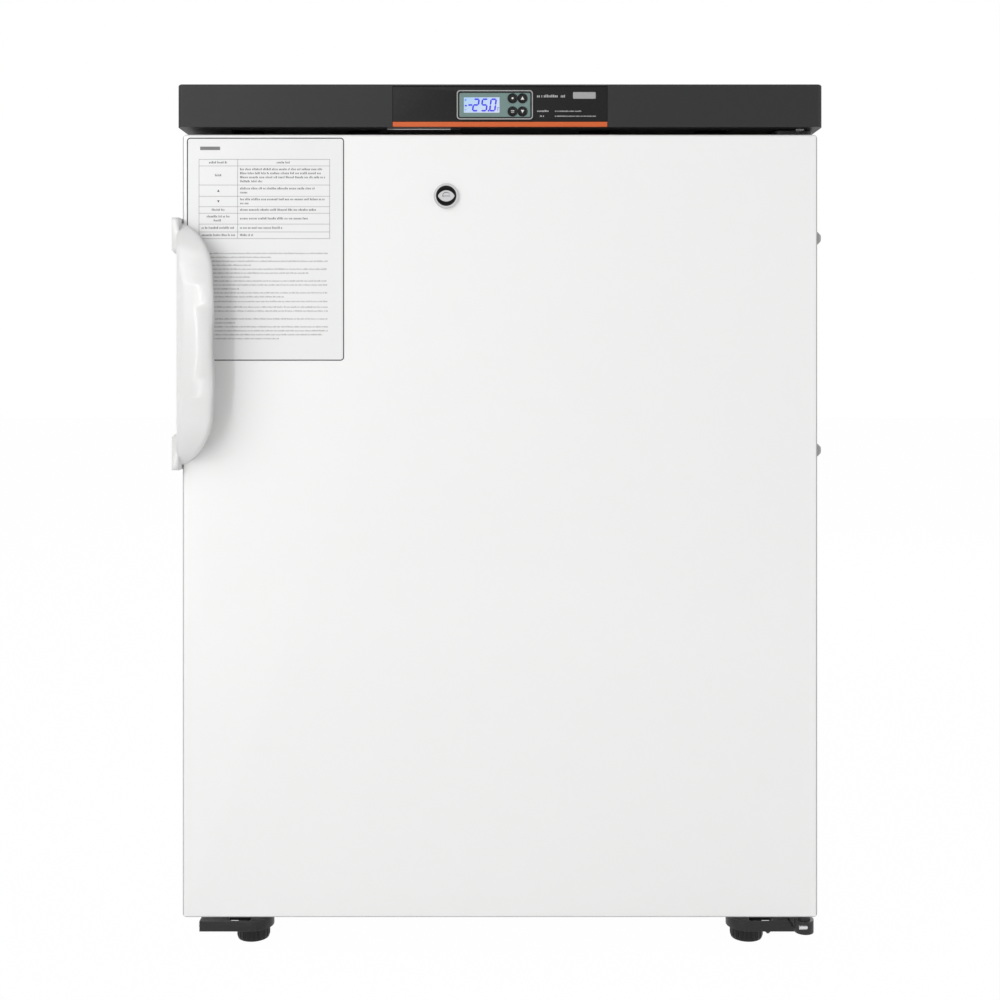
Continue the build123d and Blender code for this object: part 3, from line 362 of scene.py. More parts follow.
def lit_screen():
    """Backlit liquid crystal glass, brighter towards its lower right corner."""
    material, tree, shader = new_finish("lit_screen", Roughness=0.12, Emission_Strength=0.3)
    place = put(tree, "SeparateXYZ", {"Vector": place_in_frame(tree)}).outputs
    across = ramp(tree, place["X"], screen_low.x, screen_high.x)
    down = ramp(tree, place["Z"], screen_high.z, screen_low.z)
    glow = sums(tree, "MULTIPLY_ADD", across, 0.6, times(tree, down, 0.5))
    set_glow(tree, shader, blend_colours(tree, glow, (0.31, 0.48, 0.68, 1.0), (0.5, 0.55, 0.68, 1.0)))
    return material


def segment_ink():
    """Blue of the display's segments."""
    material, tree, shader = new_finish("segment_ink", Roughness=0.3, Emission_Strength=0.35)
    blue = effect(tree, "tone_drift", Color=(0.022, 0.012, 0.6, 1.0), Amount=0.1, Patch=0.003)
    set_glow(tree, shader, blue)
    return material


def black_plastic():
    """Black moulded plastic of the buttons, rollers and small covers."""
    return plain("black_plastic", (0.007,) * 3, (0.08, 0.006), (0.38, 0.06, 0.004),
                 ("spark_grain", 0.0005, 0.00005, 0.4), Specular_IOR_Level=0.3)


def black_steel():
    """Black powder-coated steel, lighter along its edges and a little dusty."""
    material, tree, shader = new_finish("black_steel", Specular_IOR_Level=0.4)
    lightened = effect(tree, "edge_lightening", Color=grey(0.014), Rubbed=grey(0.16), Width=0.0007, Amount=0.8)
    dusty = effect(tree, "settled_dust", Color=lightened, Dust=grey(0.2), Amount=0.25)
    tree.links.new(dusty, shader["Base Color"])
    set_gloss(tree, shader, 0.42, 0.06, 0.006)
    set_relief(tree, shader, "paint_peel", 0.0012, 0.00006, 0.5)
    return material


def copper():
    """Drawn copper with a light tarnish."""
    material, tree, shader = new_finish("copper", Metallic=1.0)
    tarnish = blend_colours(tree, noise(tree, 0.012, 4.0), (0.78, 0.42, 0.26, 1.0), (0.44, 0.2, 0.11, 1.0))
    tree.links.new(tarnish, shader["Base Color"])
    set_gloss(tree, shader, 0.32, 0.08, 0.008)
    return material


def ink(name, level):
    """Printing ink of one grey, uneven as a fine print is."""
    return plain(name, (level,) * 3, (0.12, 0.0008), (0.5, 0.03, 0.004), Specular_IOR_Level=0.25)


finishes = {
    "white_steel": white_paint_and_edge_shade(),
    "galvanised_steel": galvanised(),
    "insulation_foam": plain("insulation", (0.85, 0.74, 0.46), (0.12, 0.012), (0.9, 0.04, 0.03),
                             (4.0, 0.0015, 0.0004, 0.7), Specular_IOR_Level=0.2),
    "white_plastic": plain("liner_plastic", (0.84, 0.85, 0.85), (0.01, 0.15), (0.33, 0.05, 0.05),
                           ("paint_peel", 0.006, 0.00008, 0.3), Coat_Weight=0.15, Coat_Roughness=0.2),
    "clear_white_plastic": plain("drawer_plastic", (0.9, 0.93, 0.95), (0.015, 0.05), (0.22, 0.06, 0.03),
                                 ("paint_peel", 0.01, 0.0001, 0.25), Transmission_Weight=0.3, IOR=1.49),
    "cover_plastic": plain("cover_plastic", (0.0165, 0.0165, 0.0168), (0.05, 0.02), (0.5, 0.04, 0.02),
                           ("spark_grain", 0.0007, 0.00012, 0.5), Specular_IOR_Level=0.32),
    "panel_plastic": panel_plastic(),
    "orange_plastic": plain("orange_plastic", (0.58, 0.095, 0.008), (0.03, 0.02), (0.35, 0.04, 0.01),
                            Coat_Weight=0.2, Coat_Roughness=0.15),
    "grey_plastic": plain("teal_plate", (0.155, 0.235, 0.222), (0.03, 0.01), (0.4, 0.04, 0.005),
                          ("spark_grain", 0.0004, 0.00003, 0.4), Specular_IOR_Level=0.4),
    "screen_glass": lit_screen(),
    "black_plastic": black_plastic(),
    "gasket_rubber": plain("gasket_vinyl", (0.68, 0.68, 0.67), (0.03, 0.02), (0.55, 0.05, 0.01),
                           ("paint_peel", 0.004, 0.0001, 0.3), Specular_IOR_Level=0.35),
    "mount_rubber": plain("mount_rubber", (0.02,) * 3, (0.15, 0.004), (0.75, 0.06, 0.004),
                          (3.0, 0.0006, 0.00008, 0.5), Specular_IOR_Level=0.3),
    "black_steel": black_steel(),
    "zinc_steel": brushed("zinc", 1.0, (0.66, 0.66, 0.68, 1.0), (0.06, 0.002), (1.0, 1.0, 1.0), 0.0005,
                          0.18, 0.38),
    "cap_plastic": black_plastic(),
    "chrome": plain("chrome", (0.62, 0.62, 0.63), (0.03, 0.003), (0.09, 0.03, 0.002), Metallic=1.0),
    "enamelled_pipe": plain("enamelled_pipe", (0.74, 0.76, 0.78), (0.04, 0.01), (0.34, 0.05, 0.01),
                            ("paint_peel", 0.002, 0.0001, 0.5), Coat_Weight=0.3, Coat_Roughness=0.1),
    "copper": copper(),
}
moulded_white = plain("handle_plastic", (0.72, 0.72, 0.715), (0.006, 0.05), (0.3, 0.03, 0.02),
                      ("paint_peel", 0.008, 0.00004, 0.2, 7 * MM), Coat_Weight=0.35, Coat_Roughness=0.1)
label_white = plain("label_film", (0.8, 0.8, 0.8), (0.008, 0.04), (0.38, 0.04, 0.02),
                    ("paint_peel", 0.01, 0.00003, 0.2), Specular_IOR_Level=0.4)
frame_silver = brushed("pale_frame", 0.4, grey(0.34), (0.05, 0.004), (0.03, 1.0, 1.0), 0.0003, 0.3, 0.5)
segment_blue = segment_ink()
border_ink = ink("border_ink", 0.035)
table_ink = ink("table_ink", 0.2)
small_ink = ink("small_ink", 0.34)
panel_ink = ink("panel_ink", 0.42)
button_ink = ink("button_ink", 0.75)


# Shape helpers: each piece rides on a body and has its slot's finish unless another is given


def stand(name, data):
    """A new object in the scene."""
    thing = bpy.data.objects.new(name, data)
    bpy.context.scene.collection.objects.link(thing)
    return thing


def new_piece(name, vertices, faces, body, slot, material=None):
    """A mesh piece."""
    mesh = bpy.data.meshes.new(name)
    mesh.from_pydata(vertices, [], faces)
    mesh.materials.append(material or finishes[slot])
    mesh.validate()
    piece = stand(name, mesh)
    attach(piece, body)
    return piece


def smooth(piece, angle=35.0):
    """Smooth shading, broken at edges sharper than the angle."""
    piece.data.polygons.foreach_set("use_smooth", [True] * len(piece.data.polygons))
    piece.data.set_sharp_from_angle(angle=math.radians(angle))
    return piece


def round_edges(piece, width, segments):
    """A small round on sharp edges, left live."""
    modifier = piece.modifiers.new("edge_round", "BEVEL")
    modifier.width = width
    modifier.segments = segments
    modifier.limit_method = "ANGLE"
    modifier.angle_limit = math.radians(35.0)
    return modifier


def bevel(piece, width):
    """Small round on the sharp edges of a piece that is shaded smooth."""
    round_edges(piece, width, 2).harden_normals = True
    smooth(piece, 180.0)


def circle(count):
    """Cosine and sine at even steps round a circle."""
    return [(math.cos(2 * math.pi * i / count), math.sin(2 * math.pi * i / count)) for i in range(count)]


def bands(rows, count, first=0, closed=False, inward=False):
    """Faces between rings of count points each that follow one another in a list of vertices."""
    faces = []
    for row in range(rows if closed else rows - 1):
        a, b = first + row * count, first + (row + 1) % rows * count
        for i in range(count):
            after = (i + 1) % count
            face = [a + i, a + after, b + after, b + i]
            faces.append(face[:1] + face[:0:-1] if inward else face)
    return faces


def capped(rows, count, first=0, inward=False):
    """Faces of a row of rings that is closed at both ends."""
    last = first + (rows - 1) * count
    ends = [[end + i for i in range(count)] for end in (first, last)]
    ends[1 if inward else 0].reverse()
    return bands(rows, count, first, inward=inward) + ends


def prisms(name, outlines, near, far, body, slot, material=None):
    """Upright prisms that face the front, one for each convex outline of (x, z) points."""
    vertices, faces = [], []
    for outline in outlines:
        first, count = len(vertices), len(outline)
        vertices += [(x, near, z) for x, z in outline] + [(x, far, z) for x, z in outline]
        faces.append([first + i for i in range(count)])
        faces.append([first + count + i for i in reversed(range(count))])
        faces += bands(2, count, first, inward=True)
    return new_piece(name, vertices, faces, body, slot, material)


def rectangle(x0, x1, z0, z1):
    """Outline of an upright rectangle."""
    return [(x0, z0), (x1, z0), (x1, z1), (x0, z1)]


def round_rectangle(x0, x1, z0, z1, radius, steps=8):
    """Outline of an upright rectangle with round corners."""
    centres = ((x1 - radius, z1 - radius, 0), (x0 + radius, z1 - radius, 90),
               (x0 + radius, z0 + radius, 180), (x1 - radius, z0 + radius, 270))
    points = []
    for x, z, start in centres:
        for i in range(steps + 1):
            turn = math.radians(start + 90 * i / steps)
            points.append((x + radius * math.cos(turn), z + radius * math.sin(turn)))
    return points


def grown(upright_box, grow, radius):
    """Outline of an upright box (x0, x1, z0, z1) grown by a distance, with round corners."""
    x0, x1, z0, z1 = upright_box
    return round_rectangle(x0 - grow, x1 + grow, z0 - grow, z1 + grow, radius)


def frame_ring(name, outer, inner, near, far, body, slot, material=None):
    """A flat ring between two outlines with as many points, facing the front."""
    vertices = [(x, y, z) for outline, y in ((outer, near), (inner, near), (inner, far), (outer, far))
                for x, z in outline]
    return new_piece(name, vertices, bands(4, len(outer), closed=True, inward=True), body, slot, material)


def lathe(name, profile, centre, axis, body, slot, sides):
    """A turned piece: profile is (distance along the axis, radius) in millimetres, end to end."""
    turn = Vector((0, 0, 1)).rotation_difference(Vector(axis)).to_matrix().to_4x4()
    place = Matrix.Translation(Vector(centre)) @ turn
    vertices = [place @ Vector((radius * MM * across, radius * MM * up, height * MM))
                for height, radius in profile for across, up in circle(sides)]
    build = bands if profile[0] == profile[-1] else capped
    return smooth(new_piece(name, vertices, build(len(profile), sides), body, slot))


def bent_path(points, bend, steps=8):
    """Points along straight runs with a round bend at each corner."""
    path = [Vector(points[0])]
    for before, corner, after in zip(points, points[1:], points[2:]):
        corner = Vector(corner)
        back, ahead = (Vector(before) - corner).normalized(), (Vector(after) - corner).normalized()
        half = back.angle(ahead) / 2
        centre = corner + (back + ahead).normalized() * (bend / math.sin(half))
        start = corner + back * (bend / math.tan(half)) - centre
        end = corner + ahead * (bend / math.tan(half)) - centre
        for i in range(steps + 1):
            path.append(centre + start.slerp(end, i / steps).normalized() * bend)
    path.append(Vector(points[-1]))
    return path


def tube_points(path, radius, sides):
    """Points of a round tube along a path, ring by ring."""
    tangents = [(b - a).normalized() for a, b in zip(path, path[1:])]
    side = tangents[0].orthogonal().normalized()
    points = []
    for place, point in enumerate(path):
        before, after = tangents[max(place - 1, 0)], tangents[min(place, len(tangents) - 1)]
        along = (before + after).normalized()
        side = (side - along * side.dot(along)).normalized()
        other = along.cross(side)
        points += [point + (side * across + other * up) * radius for across, up in circle(sides)]
    return points


def tubes(name, paths, radius, slot, sides=16):
    """Round tubes on the cabinet, one along each path, as one piece."""
    vertices, faces = [], []
    for path in paths:
        faces += capped(len(path), sides, len(vertices))
        vertices += tube_points(path, radius, sides)
    return smooth(new_piece(name, vertices, faces, "cabinet", slot))


def spaced(low, high, pitch):
    """Even positions from low to high, about a pitch apart."""
    count = max(1, round((high - low) / pitch))
    return [low + (high - low) * i / count for i in range(count + 1)]


def front_centre(name):
    """Middle of the front of a node's box."""
    low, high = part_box(name)
    return (low.x + high.x) / 2, low.y, (low.z + high.z) / 2


# Label on the door

label_from_edge = 4.0 * MM
label_from_top = 2.8 * MM
label_width = 147.0 * MM
label_height = 208.3 * MM
label_radius = 3.6 * MM
label_border = 0.95 * MM
label_border_inset = 0.3 * MM
table_left = 11.6 * MM
table_right = 133.3 * MM
table_column = 47.6 * MM
table_top = 20.5 * MM
table_rows = (6.1, 17.8, 10.5, 9.7, 6.1, 10.1, 7.3, 6.2)
table_rule = 0.32 * MM
table_text = 1.45 * MM
table_pitch = 3.75 * MM
title_left, title_right = 12.6 * MM, 31.2 * MM
title_low, title_high = 11.8 * MM, 8.6 * MM
small_text = 0.95 * MM
small_pitch = 3.68 * MM
small_top = 108.6 * MM
small_right = 131.7 * MM
heading_half_width = 6.5 * MM
column_start = 2.2 * MM
column_end = 2 * MM
arrow_reach = 1.1 * MM
arrow_rows = ((2, 1), (3, -1))
glue_line = print_lift / 3
# Each line of the small print: pitches below the last line, and its share of the full width
small_lines = (
    (0, 1.0), (1, 0.56), (1, 1.0), (1, 0.41), (1, 1.0), (1, 0.85), (1, 0.4), (1, 1.0), (1, 1.0),
    (1, 0.31), (1, 1.0), (1, 0.66), (1.2, 1.0), (1.4, 1.0), (1, 1.0), (2, 1.0), (1, 0.28), (1, 1.0),
    (1, 1.0), (1, 0.96), (1, 0.62),
)
# Lines of marks in each table row: shares of the first column, then of the second one, or its heading
table_lines = (
    ((0.48,), None), ((0.17,), (0.94, 0.93, 0.98, 0.28)), ((), (0.88, 0.12)), ((), (0.97, 0.12)),
    ((0.34,), (0.89,)), ((0.6, 0.24), (0.79,)), ((0.86,), (0.5,)), ((0.86,), (0.17,)),
)

label_x = door_low.x + label_from_edge
label_z = door_high.z - label_from_top
label_face = door_low.y - print_lift - print_depth
label_print = (label_face - print_depth, label_face - glue_line, "door", "black_plastic")


def label_area(left, right, top, bottom):
    """Upright box on the door of an area measured from the label's upper left corner."""
    return label_x + left, label_x + right, label_z - bottom, label_z - top


def label_box(left, right, top, bottom):
    """Outline of such an area."""
    return rectangle(*label_area(left, right, top, bottom))


def print_label(name, outlines, material):
    """Marks printed on the label."""
    prisms(name, outlines, *label_print, material)


def line_of_marks(draw, left, right, foot, height):
    """Word-like runs of small plain marks between two ends."""
    marks = []
    across = left
    while across < right - height:
        for _ in range(draw.randint(2, 8)):
            width = height * draw.uniform(0.35, 0.7)
            tall = height * (1.4 if draw.random() < 0.28 else 1.0)
            if across + width < right:
                marks.append(label_box(across, across + width, foot - tall, foot))
            across += width + height * 0.32
        across += height * 0.55
    return marks


def label_sheet():
    """The film itself, with its printed border."""
    sheet = label_area(0, label_width, 0, label_height)
    prisms("label_sheet", [grown(sheet, 0.0, label_radius)], label_face, door_low.y - glue_line, "door",
           "white_plastic", label_white)
    outer, inner = label_border_inset, label_border_inset + label_border
    frame_ring("label_border", grown(sheet, -outer, label_radius - outer),
               grown(sheet, -inner, label_radius - inner), *label_print, border_ink)


def label_table():
    """The ruled table."""
    half = table_rule / 2
    downs = [table_top + MM * sum(table_rows[:i]) for i in range(len(table_rows) + 1)]
    rules = [label_box(table_left - half, table_right + half, down - half, down + half) for down in downs]
    gaps = list(zip(downs, downs[1:]))
    for across in (table_left, table_column, table_right):
        rules += [label_box(across - half, across + half, top + half, foot - half) for top, foot in gaps]
    print_label("label_rules", rules, table_ink)
    return gaps


def table_feet(middle, count):
    """Feet of so many lines of marks round a height."""
    return [middle + table_text / 2 + (i - (count - 1) / 2) * table_pitch for i in range(count)]


def label_marks(gaps):
    """Plain marks in place of the print, and the table's arrows."""
    draw = random.Random(11)
    marks = [label_box(title_left, title_right, title_high, title_low)]
    for (top, foot), (first, second) in zip(gaps, table_lines):
        middle = (top + foot) / 2
        width = table_column - table_left
        for base, share in zip(table_feet(middle, len(first)), first):
            left = table_left + width * (1 - share) / 2
            marks += line_of_marks(draw, left, left + width * share, base, table_text)
        if second is None:
            centre = (table_column + table_right) / 2
            marks += line_of_marks(draw, centre - heading_half_width, centre + heading_half_width,
                                   middle + table_text / 2, table_text)
            continue
        width = table_right - table_column - column_end
        for base, share in zip(table_feet(middle, len(second)), second):
            marks += line_of_marks(draw, table_column + column_start, table_column + width * share, base,
                                   table_text)
    print_label("label_marks", marks, table_ink)
    arrows = []
    for row, way in arrow_rows:
        x, z = label_x + (table_left + table_column) / 2, label_z - sum(gaps[row]) / 2
        foot, point = z - way * arrow_reach, z + way * arrow_reach
        tip = [(x - arrow_reach, foot), (x + arrow_reach, foot), (x, point)]
        arrows.append(tip if way > 0 else tip[::-1])
    print_label("label_arrows", arrows, border_ink)


def label_small_print():
    """The block of small lines below the table, as plain marks."""
    draw = random.Random(23)
    marks = []
    down = small_top
    for pitches, share in small_lines:
        down += pitches * small_pitch
        right = table_left + (small_right - table_left) * share
        marks += line_of_marks(draw, table_left, right, down, small_text)
    print_label("label_small_print", marks, small_ink)


label_sheet()
label_marks(label_table())
label_small_print()

# Control panel

digit_height = 10.7 * MM
digit_width = 4.7 * MM
digit_pitch = 7.95 * MM
digit_stroke = 1.45 * MM
digit_slant = 0.13
digit_first = 8.9 * MM
minus_left, minus_right = 4.3 * MM, 7.8 * MM
point_left = 22.3 * MM
point_size = 1.5 * MM
segments_of = {"2": "abged", "5": "afgcd", "0": "abcdef"}
segment_gap = 0.12 * MM

# Small signs at the screen's left edge: distance down, width and height in millimetres
sign_left = 1.0 * MM
screen_signs = ((2.0, 1.7, 0.5), (2.9, 1.1, 0.5), (7.2, 1.9, 1.3), (11.5, 1.3, 0.5))
# Signs at its right edge: both ends, back from the edge, then foot and top above the digits' foot
corner_signs = ((1.9, 1.4, 0.0, 3.2), (1.2, 0.4, 2.7, 3.2))

rim_grow = 0.15 * MM
rim_width = 0.8 * MM
rim_outer_radius, rim_inner_radius = 3.1 * MM, 2.3 * MM
rim_front = 0.35 * MM

# Outlines of each button's sign, and the profile of its collar, in millimetres
button_signs = {
    "button_set": [rectangle(-1.55, 1.55, -0.9175, -0.4775), rectangle(-1.55, 1.55, 0.4775, 0.9175)],
    "button_lock": [round_rectangle(-0.9, 0.9, -0.9, 0.9, 0.85, 5)],
    "button_up": [[(-1.55, -1.24), (1.55, -1.24), (0, 1.55)]],
    "button_down": [[(1.55, 1.24), (-1.55, 1.24), (0, -1.55)]],
}
collar_profile = [(0.1, 3.75), (-0.45, 3.75), (-0.6, 3.95), (-0.6, 4.4), (-0.35, 4.7), (0.1, 4.7),
                  (0.1, 3.75)]

# Lines of marks on the panel, in millimetres: left, right, foot and height
panel_lines = ((34.4, 54.6, 807.5, 1.9), (56.6, 61.4, 807.5, 1.9), (34.6, 45.6, 794.0, 1.35),
               (51.1, 75.9, 794.1, 1.0), (37.2, 42.3, 789.4, 1.35), (51.1, 89.3, 789.5, 1.0))
bare_plate = (67.9 * MM, 89.0 * MM, 806.2 * MM, 812.4 * MM)
bare_plate_radius, bare_plate_height = 0.9 * MM, 0.5 * MM
seat_grow, seat_radius, seat_height = 0.7 * MM, 1.4 * MM, 0.08 * MM


def segment(kind, x, z):
    """Outline of one segment of a digit whose lower left corner is at x, z."""
    w, h, t, gap = digit_width, digit_height, digit_stroke, segment_gap
    level = {"a": h, "g": h / 2, "d": 0}
    if kind in level:
        low = level[kind]
        points = [(gap, low), (t / 2 + gap, low - t / 2), (w - t / 2 - gap, low - t / 2), (w - gap, low),
                  (w - t / 2 - gap, low + t / 2), (t / 2 + gap, low + t / 2)]
    else:
        side = w if kind in "bc" else 0
        low, high = (h / 2 + gap, h - gap) if kind in "bf" else (gap, h / 2 - gap)
        points = [(side, low), (side + t / 2, low + t / 2), (side + t / 2, high - t / 2), (side, high),
                  (side - t / 2, high - t / 2), (side - t / 2, low + t / 2)]
    return [(x + px + (pz - h / 2) * digit_slant, z + pz) for px, pz in points]


def display_digits():
    """The reading on the screen, with its small signs."""
    near = screen_low.y - print_lift - print_depth
    foot = (screen_low.z + screen_high.z - digit_height) / 2
    outlines = []
    for place, sign in enumerate("250"):
        x = screen_low.x + digit_first + place * digit_pitch
        outlines += [segment(kind, x, foot) for kind in segments_of[sign]]
    middle = foot + digit_height / 2
    outlines.append(rectangle(screen_low.x + minus_left, screen_low.x + minus_right,
                              middle - digit_stroke / 2, middle + digit_stroke / 2))
    point_x = screen_low.x + point_left
    outlines.append(rectangle(point_x, point_x + point_size, foot - point_size / 2, foot + point_size / 2))
    sign_x = screen_low.x + sign_left
    for down, width, height in screen_signs:
        z = screen_high.z - down * MM
        outlines.append(rectangle(sign_x, sign_x + width * MM, z - height * MM, z))
    for left, right, low, high in corner_signs:
        outlines.append(rectangle(screen_high.x - left * MM, screen_high.x - right * MM,
                                  foot + low * MM, foot + high * MM))
    prisms("display_digits", outlines, near, near + print_depth, "cabinet", "screen_glass", segment_blue)


def display_frame():
    """Pale rim round the display."""
    bezel = (bezel_low.x, bezel_high.x, bezel_low.z, bezel_high.z)
    frame_ring("display_frame", grown(bezel, rim_grow, rim_outer_radius),
               grown(bezel, -rim_width, rim_inner_radius), bezel_low.y - rim_front, bezel_high.y, "cabinet",
               "grey_plastic", frame_silver)


def button_collars():
    """Dark collar round each button, on the face plate."""
    for name in button_signs:
        x, _, z = front_centre(name)
        lathe(f"{name}_collar", collar_profile, (x, plate_low.y, z), (0, 1, 0), "cabinet", "black_plastic",
              40)


def print_buttons():
    """Arrows on the right-hand buttons and plain signs on the left-hand ones."""
    for name, sign in button_signs.items():
        x, y, z = front_centre(name)
        outlines = [[(x + across * MM, z + up * MM) for across, up in outline] for outline in sign]
        prisms(f"{name}_sign", outlines, y - print_depth, y + print_lift, name, "white_plastic", button_ink)


def panel_prints():
    """Plain marks where the panel is printed, and the small bare plate."""
    near, far = panel_low.y - print_depth, panel_low.y + print_lift
    draw = random.Random(5)
    marks = []
    for left, right, foot, height in panel_lines:
        across = left
        while across < right - height / 2:
            width = height * draw.uniform(0.35, 0.6)
            tall = height * (1.3 if draw.random() < 0.25 else 1.0)
            marks.append(rectangle(across * MM, (across + width) * MM, foot * MM, (foot + tall) * MM))
            across += width + height * (0.28 if draw.random() < 0.82 else 0.8)
    prisms("panel_marks", marks, near, far, "cabinet", "white_plastic", panel_ink)
    plate = prisms("bare_plate", [grown(bare_plate, 0.0, bare_plate_radius)],
                   panel_low.y - bare_plate_height, far, "cabinet", "grey_plastic", frame_silver)
    bevel(plate, 0.25 * MM)
    prisms("bare_plate_seat", [grown(bare_plate, seat_grow, seat_radius)], panel_low.y - seat_height, far,
           "cabinet", "black_plastic")


display_digits()
display_frame()
button_collars()
print_buttons()
panel_prints()

# Cooling pipes, with the round pipes and wires of the real ones

pipe_radius = 3.0 * MM
condenser_runs = 9
condenser_wire_radius = 0.8 * MM
condenser_wire_pitch = 15.0 * MM
condenser_wire_overrun = 14.0 * MM
condenser_inlet_offset = 18.0 * MM
condenser_drop = 30.0 * MM
wire_bend_gap = 4 * MM

evaporator_radius = 4.0 * MM
evaporator_runs = 6
shelf_wire_radius = 1.0 * MM
shelf_wire_pitch = 24.0 * MM
liner_flange = 35.0 * MM
liner_wall = 2.0 * MM
shelf_front_inset = 38.0 * MM
shelf_back_gap = 14.0 * MM
riser_bend = 8.0 * MM
riser_back_gap = 2 * MM
joint_gap = 6 * MM
turn_front_gap = 6 * MM
turn_back_gap = 30 * MM
pipe_side_gap = 36 * MM
wire_side_gap = 0.5 * MM
wire_front_gap, wire_back_gap = 4 * MM, 6 * MM


def serpentine_bend(pitch):
    """Bend that turns a pipe back beside itself."""
    return pitch / 2 - 0.5 * MM


def make_condenser():
    """Serpentine pipe between two rows of upright wires, behind the cabinet."""
    low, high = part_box("wire_condenser")
    y = (low.y + high.y) / 2
    top, foot = high.z - condenser_wire_overrun, low.z + condenser_drop
    pitch = (top - foot) / (condenser_runs - 1)
    inlet = low.x + pipe_radius
    left, right = inlet + condenser_inlet_offset, high.x - pipe_radius
    points = [(inlet, y, low.z)]
    x = inlet
    for run in range(condenser_runs):
        z = top - run * pitch
        points.append((x, y, z))
        x = left if run % 2 else right
        points.append((x, y, z))
    points.append((x, y, low.z))
    path = bent_path(points, serpentine_bend(pitch), 6)
    pipe = tubes("condenser_pipe", [path], pipe_radius, "black_steel", 14)
    reach = (right - left) / 2 - pitch / 2 - wire_bend_gap
    middle = (left + right) / 2
    wires = []
    for way in (-1, 1):
        wire_y = y + way * (pipe_radius + condenser_wire_radius)
        for x in spaced(-reach, reach, condenser_wire_pitch):
            start, end = (middle + x, wire_y, foot - condenser_wire_overrun), (middle + x, wire_y, high.z)
            wires.append([Vector(start), Vector(end)])
    tubes("condenser_wires", wires, condenser_wire_radius, "black_steel", 8)
    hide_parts("wire_condenser")


def make_evaporator(number):
    """A shelf of one serpentine pipe with wires across it, and its riser to the shelf above."""
    low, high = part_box(f"evaporator_shelf_{number}")
    half_liner, back = liner_high.x - liner_flange, liner_high.y - liner_wall
    front, rear = liner_low.y + shelf_front_inset, back - shelf_back_gap
    z = low.z + evaporator_radius
    joint, near, far = rear - joint_gap, front + turn_front_gap, rear - turn_back_gap
    half = half_liner - pipe_side_gap
    pitch = 2 * half / (evaporator_runs - 1)
    side = -1 if number % 2 else 1
    columns = [side * (half - pitch * i) for i in range(evaporator_runs)]
    points = [(columns[0], back if number == 1 else joint, z)]
    for i, (x, after) in enumerate(zip(columns, columns[1:])):
        y = far if i % 2 else near
        points += [(x, y, z), (after, y, z)]
    last = columns[-1]
    top_one = number == 3
    points.append((last, back if top_one else joint, z))
    paths = [bent_path(points, serpentine_bend(pitch))]
    if not top_one:
        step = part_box(f"evaporator_shelf_{number + 1}")[0].z - low.z
        riser_y = back - evaporator_radius - riser_back_gap
        riser = [(last, joint, z), (last, riser_y, z), (last, riser_y, z + step), (last, joint, z + step)]
        paths.append(bent_path(riser, riser_bend, 6))
    pipe = tubes(f"evaporator_pipe_{number}", paths, evaporator_radius, "enamelled_pipe")
    wire_z = z + evaporator_radius + shelf_wire_radius
    reach = half_liner - wire_side_gap
    wires = [[Vector((-reach, y, wire_z)), Vector((reach, y, wire_z))]
             for y in spaced(front + wire_front_gap, rear - wire_back_gap, shelf_wire_pitch)]
    tubes(f"evaporator_wires_{number}", wires, shelf_wire_radius, "enamelled_pipe", 10)
    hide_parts(f"evaporator_shelf_{number}")


make_condenser()
for number in (1, 2, 3):
    make_evaporator(number)

# Gasket with its bellows: distances in from its outer edge, and back from the door, in millimetres

gasket_profile = (
    (0, 0), (18, 0), (18, 3.0), (17.2, 3.8), (13, 4.2), (12.2, 5), (12.6, 5.6), (14.6, 6.1), (15, 6.8),
    (14.4, 7.4), (12.6, 7.8), (12.8, 8.3), (16, 8.6), (16.9, 9.4), (17, 10.6), (16.4, 11.6), (15.2, 12),
    (2.8, 12), (1.6, 11.6), (1, 10.6), (1.1, 9.4), (2, 8.6), (5.2, 8.3), (5.4, 7.8), (3.6, 7.4), (3, 6.8),
    (3.4, 6.1), (5.4, 5.6), (5.8, 5), (5, 4.2), (0.8, 3.8), (0, 3.0),
)


def make_gasket():
    """Magnetic gasket round the door's inner face."""
    corners = ((gasket_low.x, gasket_low.z, 1, 1), (gasket_high.x, gasket_low.z, -1, 1),
               (gasket_high.x, gasket_high.z, -1, -1), (gasket_low.x, gasket_high.z, 1, -1))
    vertices = [(x + way_x * inset * MM, gasket_low.y + depth * MM, z + way_z * inset * MM)
                for x, z, way_x, way_z in corners for inset, depth in gasket_profile]
    faces = bands(4, len(gasket_profile), closed=True)
    seal = new_piece("bellows_gasket", vertices, faces, "door", "gasket_rubber")
    smooth(seal, 40.0)
    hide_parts("door_gasket")


make_gasket()

# Small fasteners and fittings: turned profiles are (distance along the axis, radius) in millimetres

screw_radius = 4.0 * MM
screw_height = 1.9 * MM
screw_sides = 24
screw_profile = ((0.0, 1.0), (0.35, 1.0), (0.7, 0.86), (0.92, 0.6), (1.0, 0.25))
cross_reach = 2.0 * MM
cross_half = 0.5 * MM
cross_floor, cross_top = 0.4, 1.03

# Rear screws: inset from the edges, rows at the sides (foot, top, pitch), places along the grille's top
sheet_inset = 9 * MM
screw_rows = ((back_low.z + 14 * MM, back_high.z - 16 * MM, 125 * MM),
              (grille_low.z + 16 * MM, grille_high.z - 14 * MM, 90 * MM))
top_screws = (-150 * MM, 0.0, 150 * MM)

strike_lip_end = 9 * MM
strike_lip_drop = 0.5 * MM
strike_lip_front, strike_lip_back = 0.6 * MM, 0.1 * MM

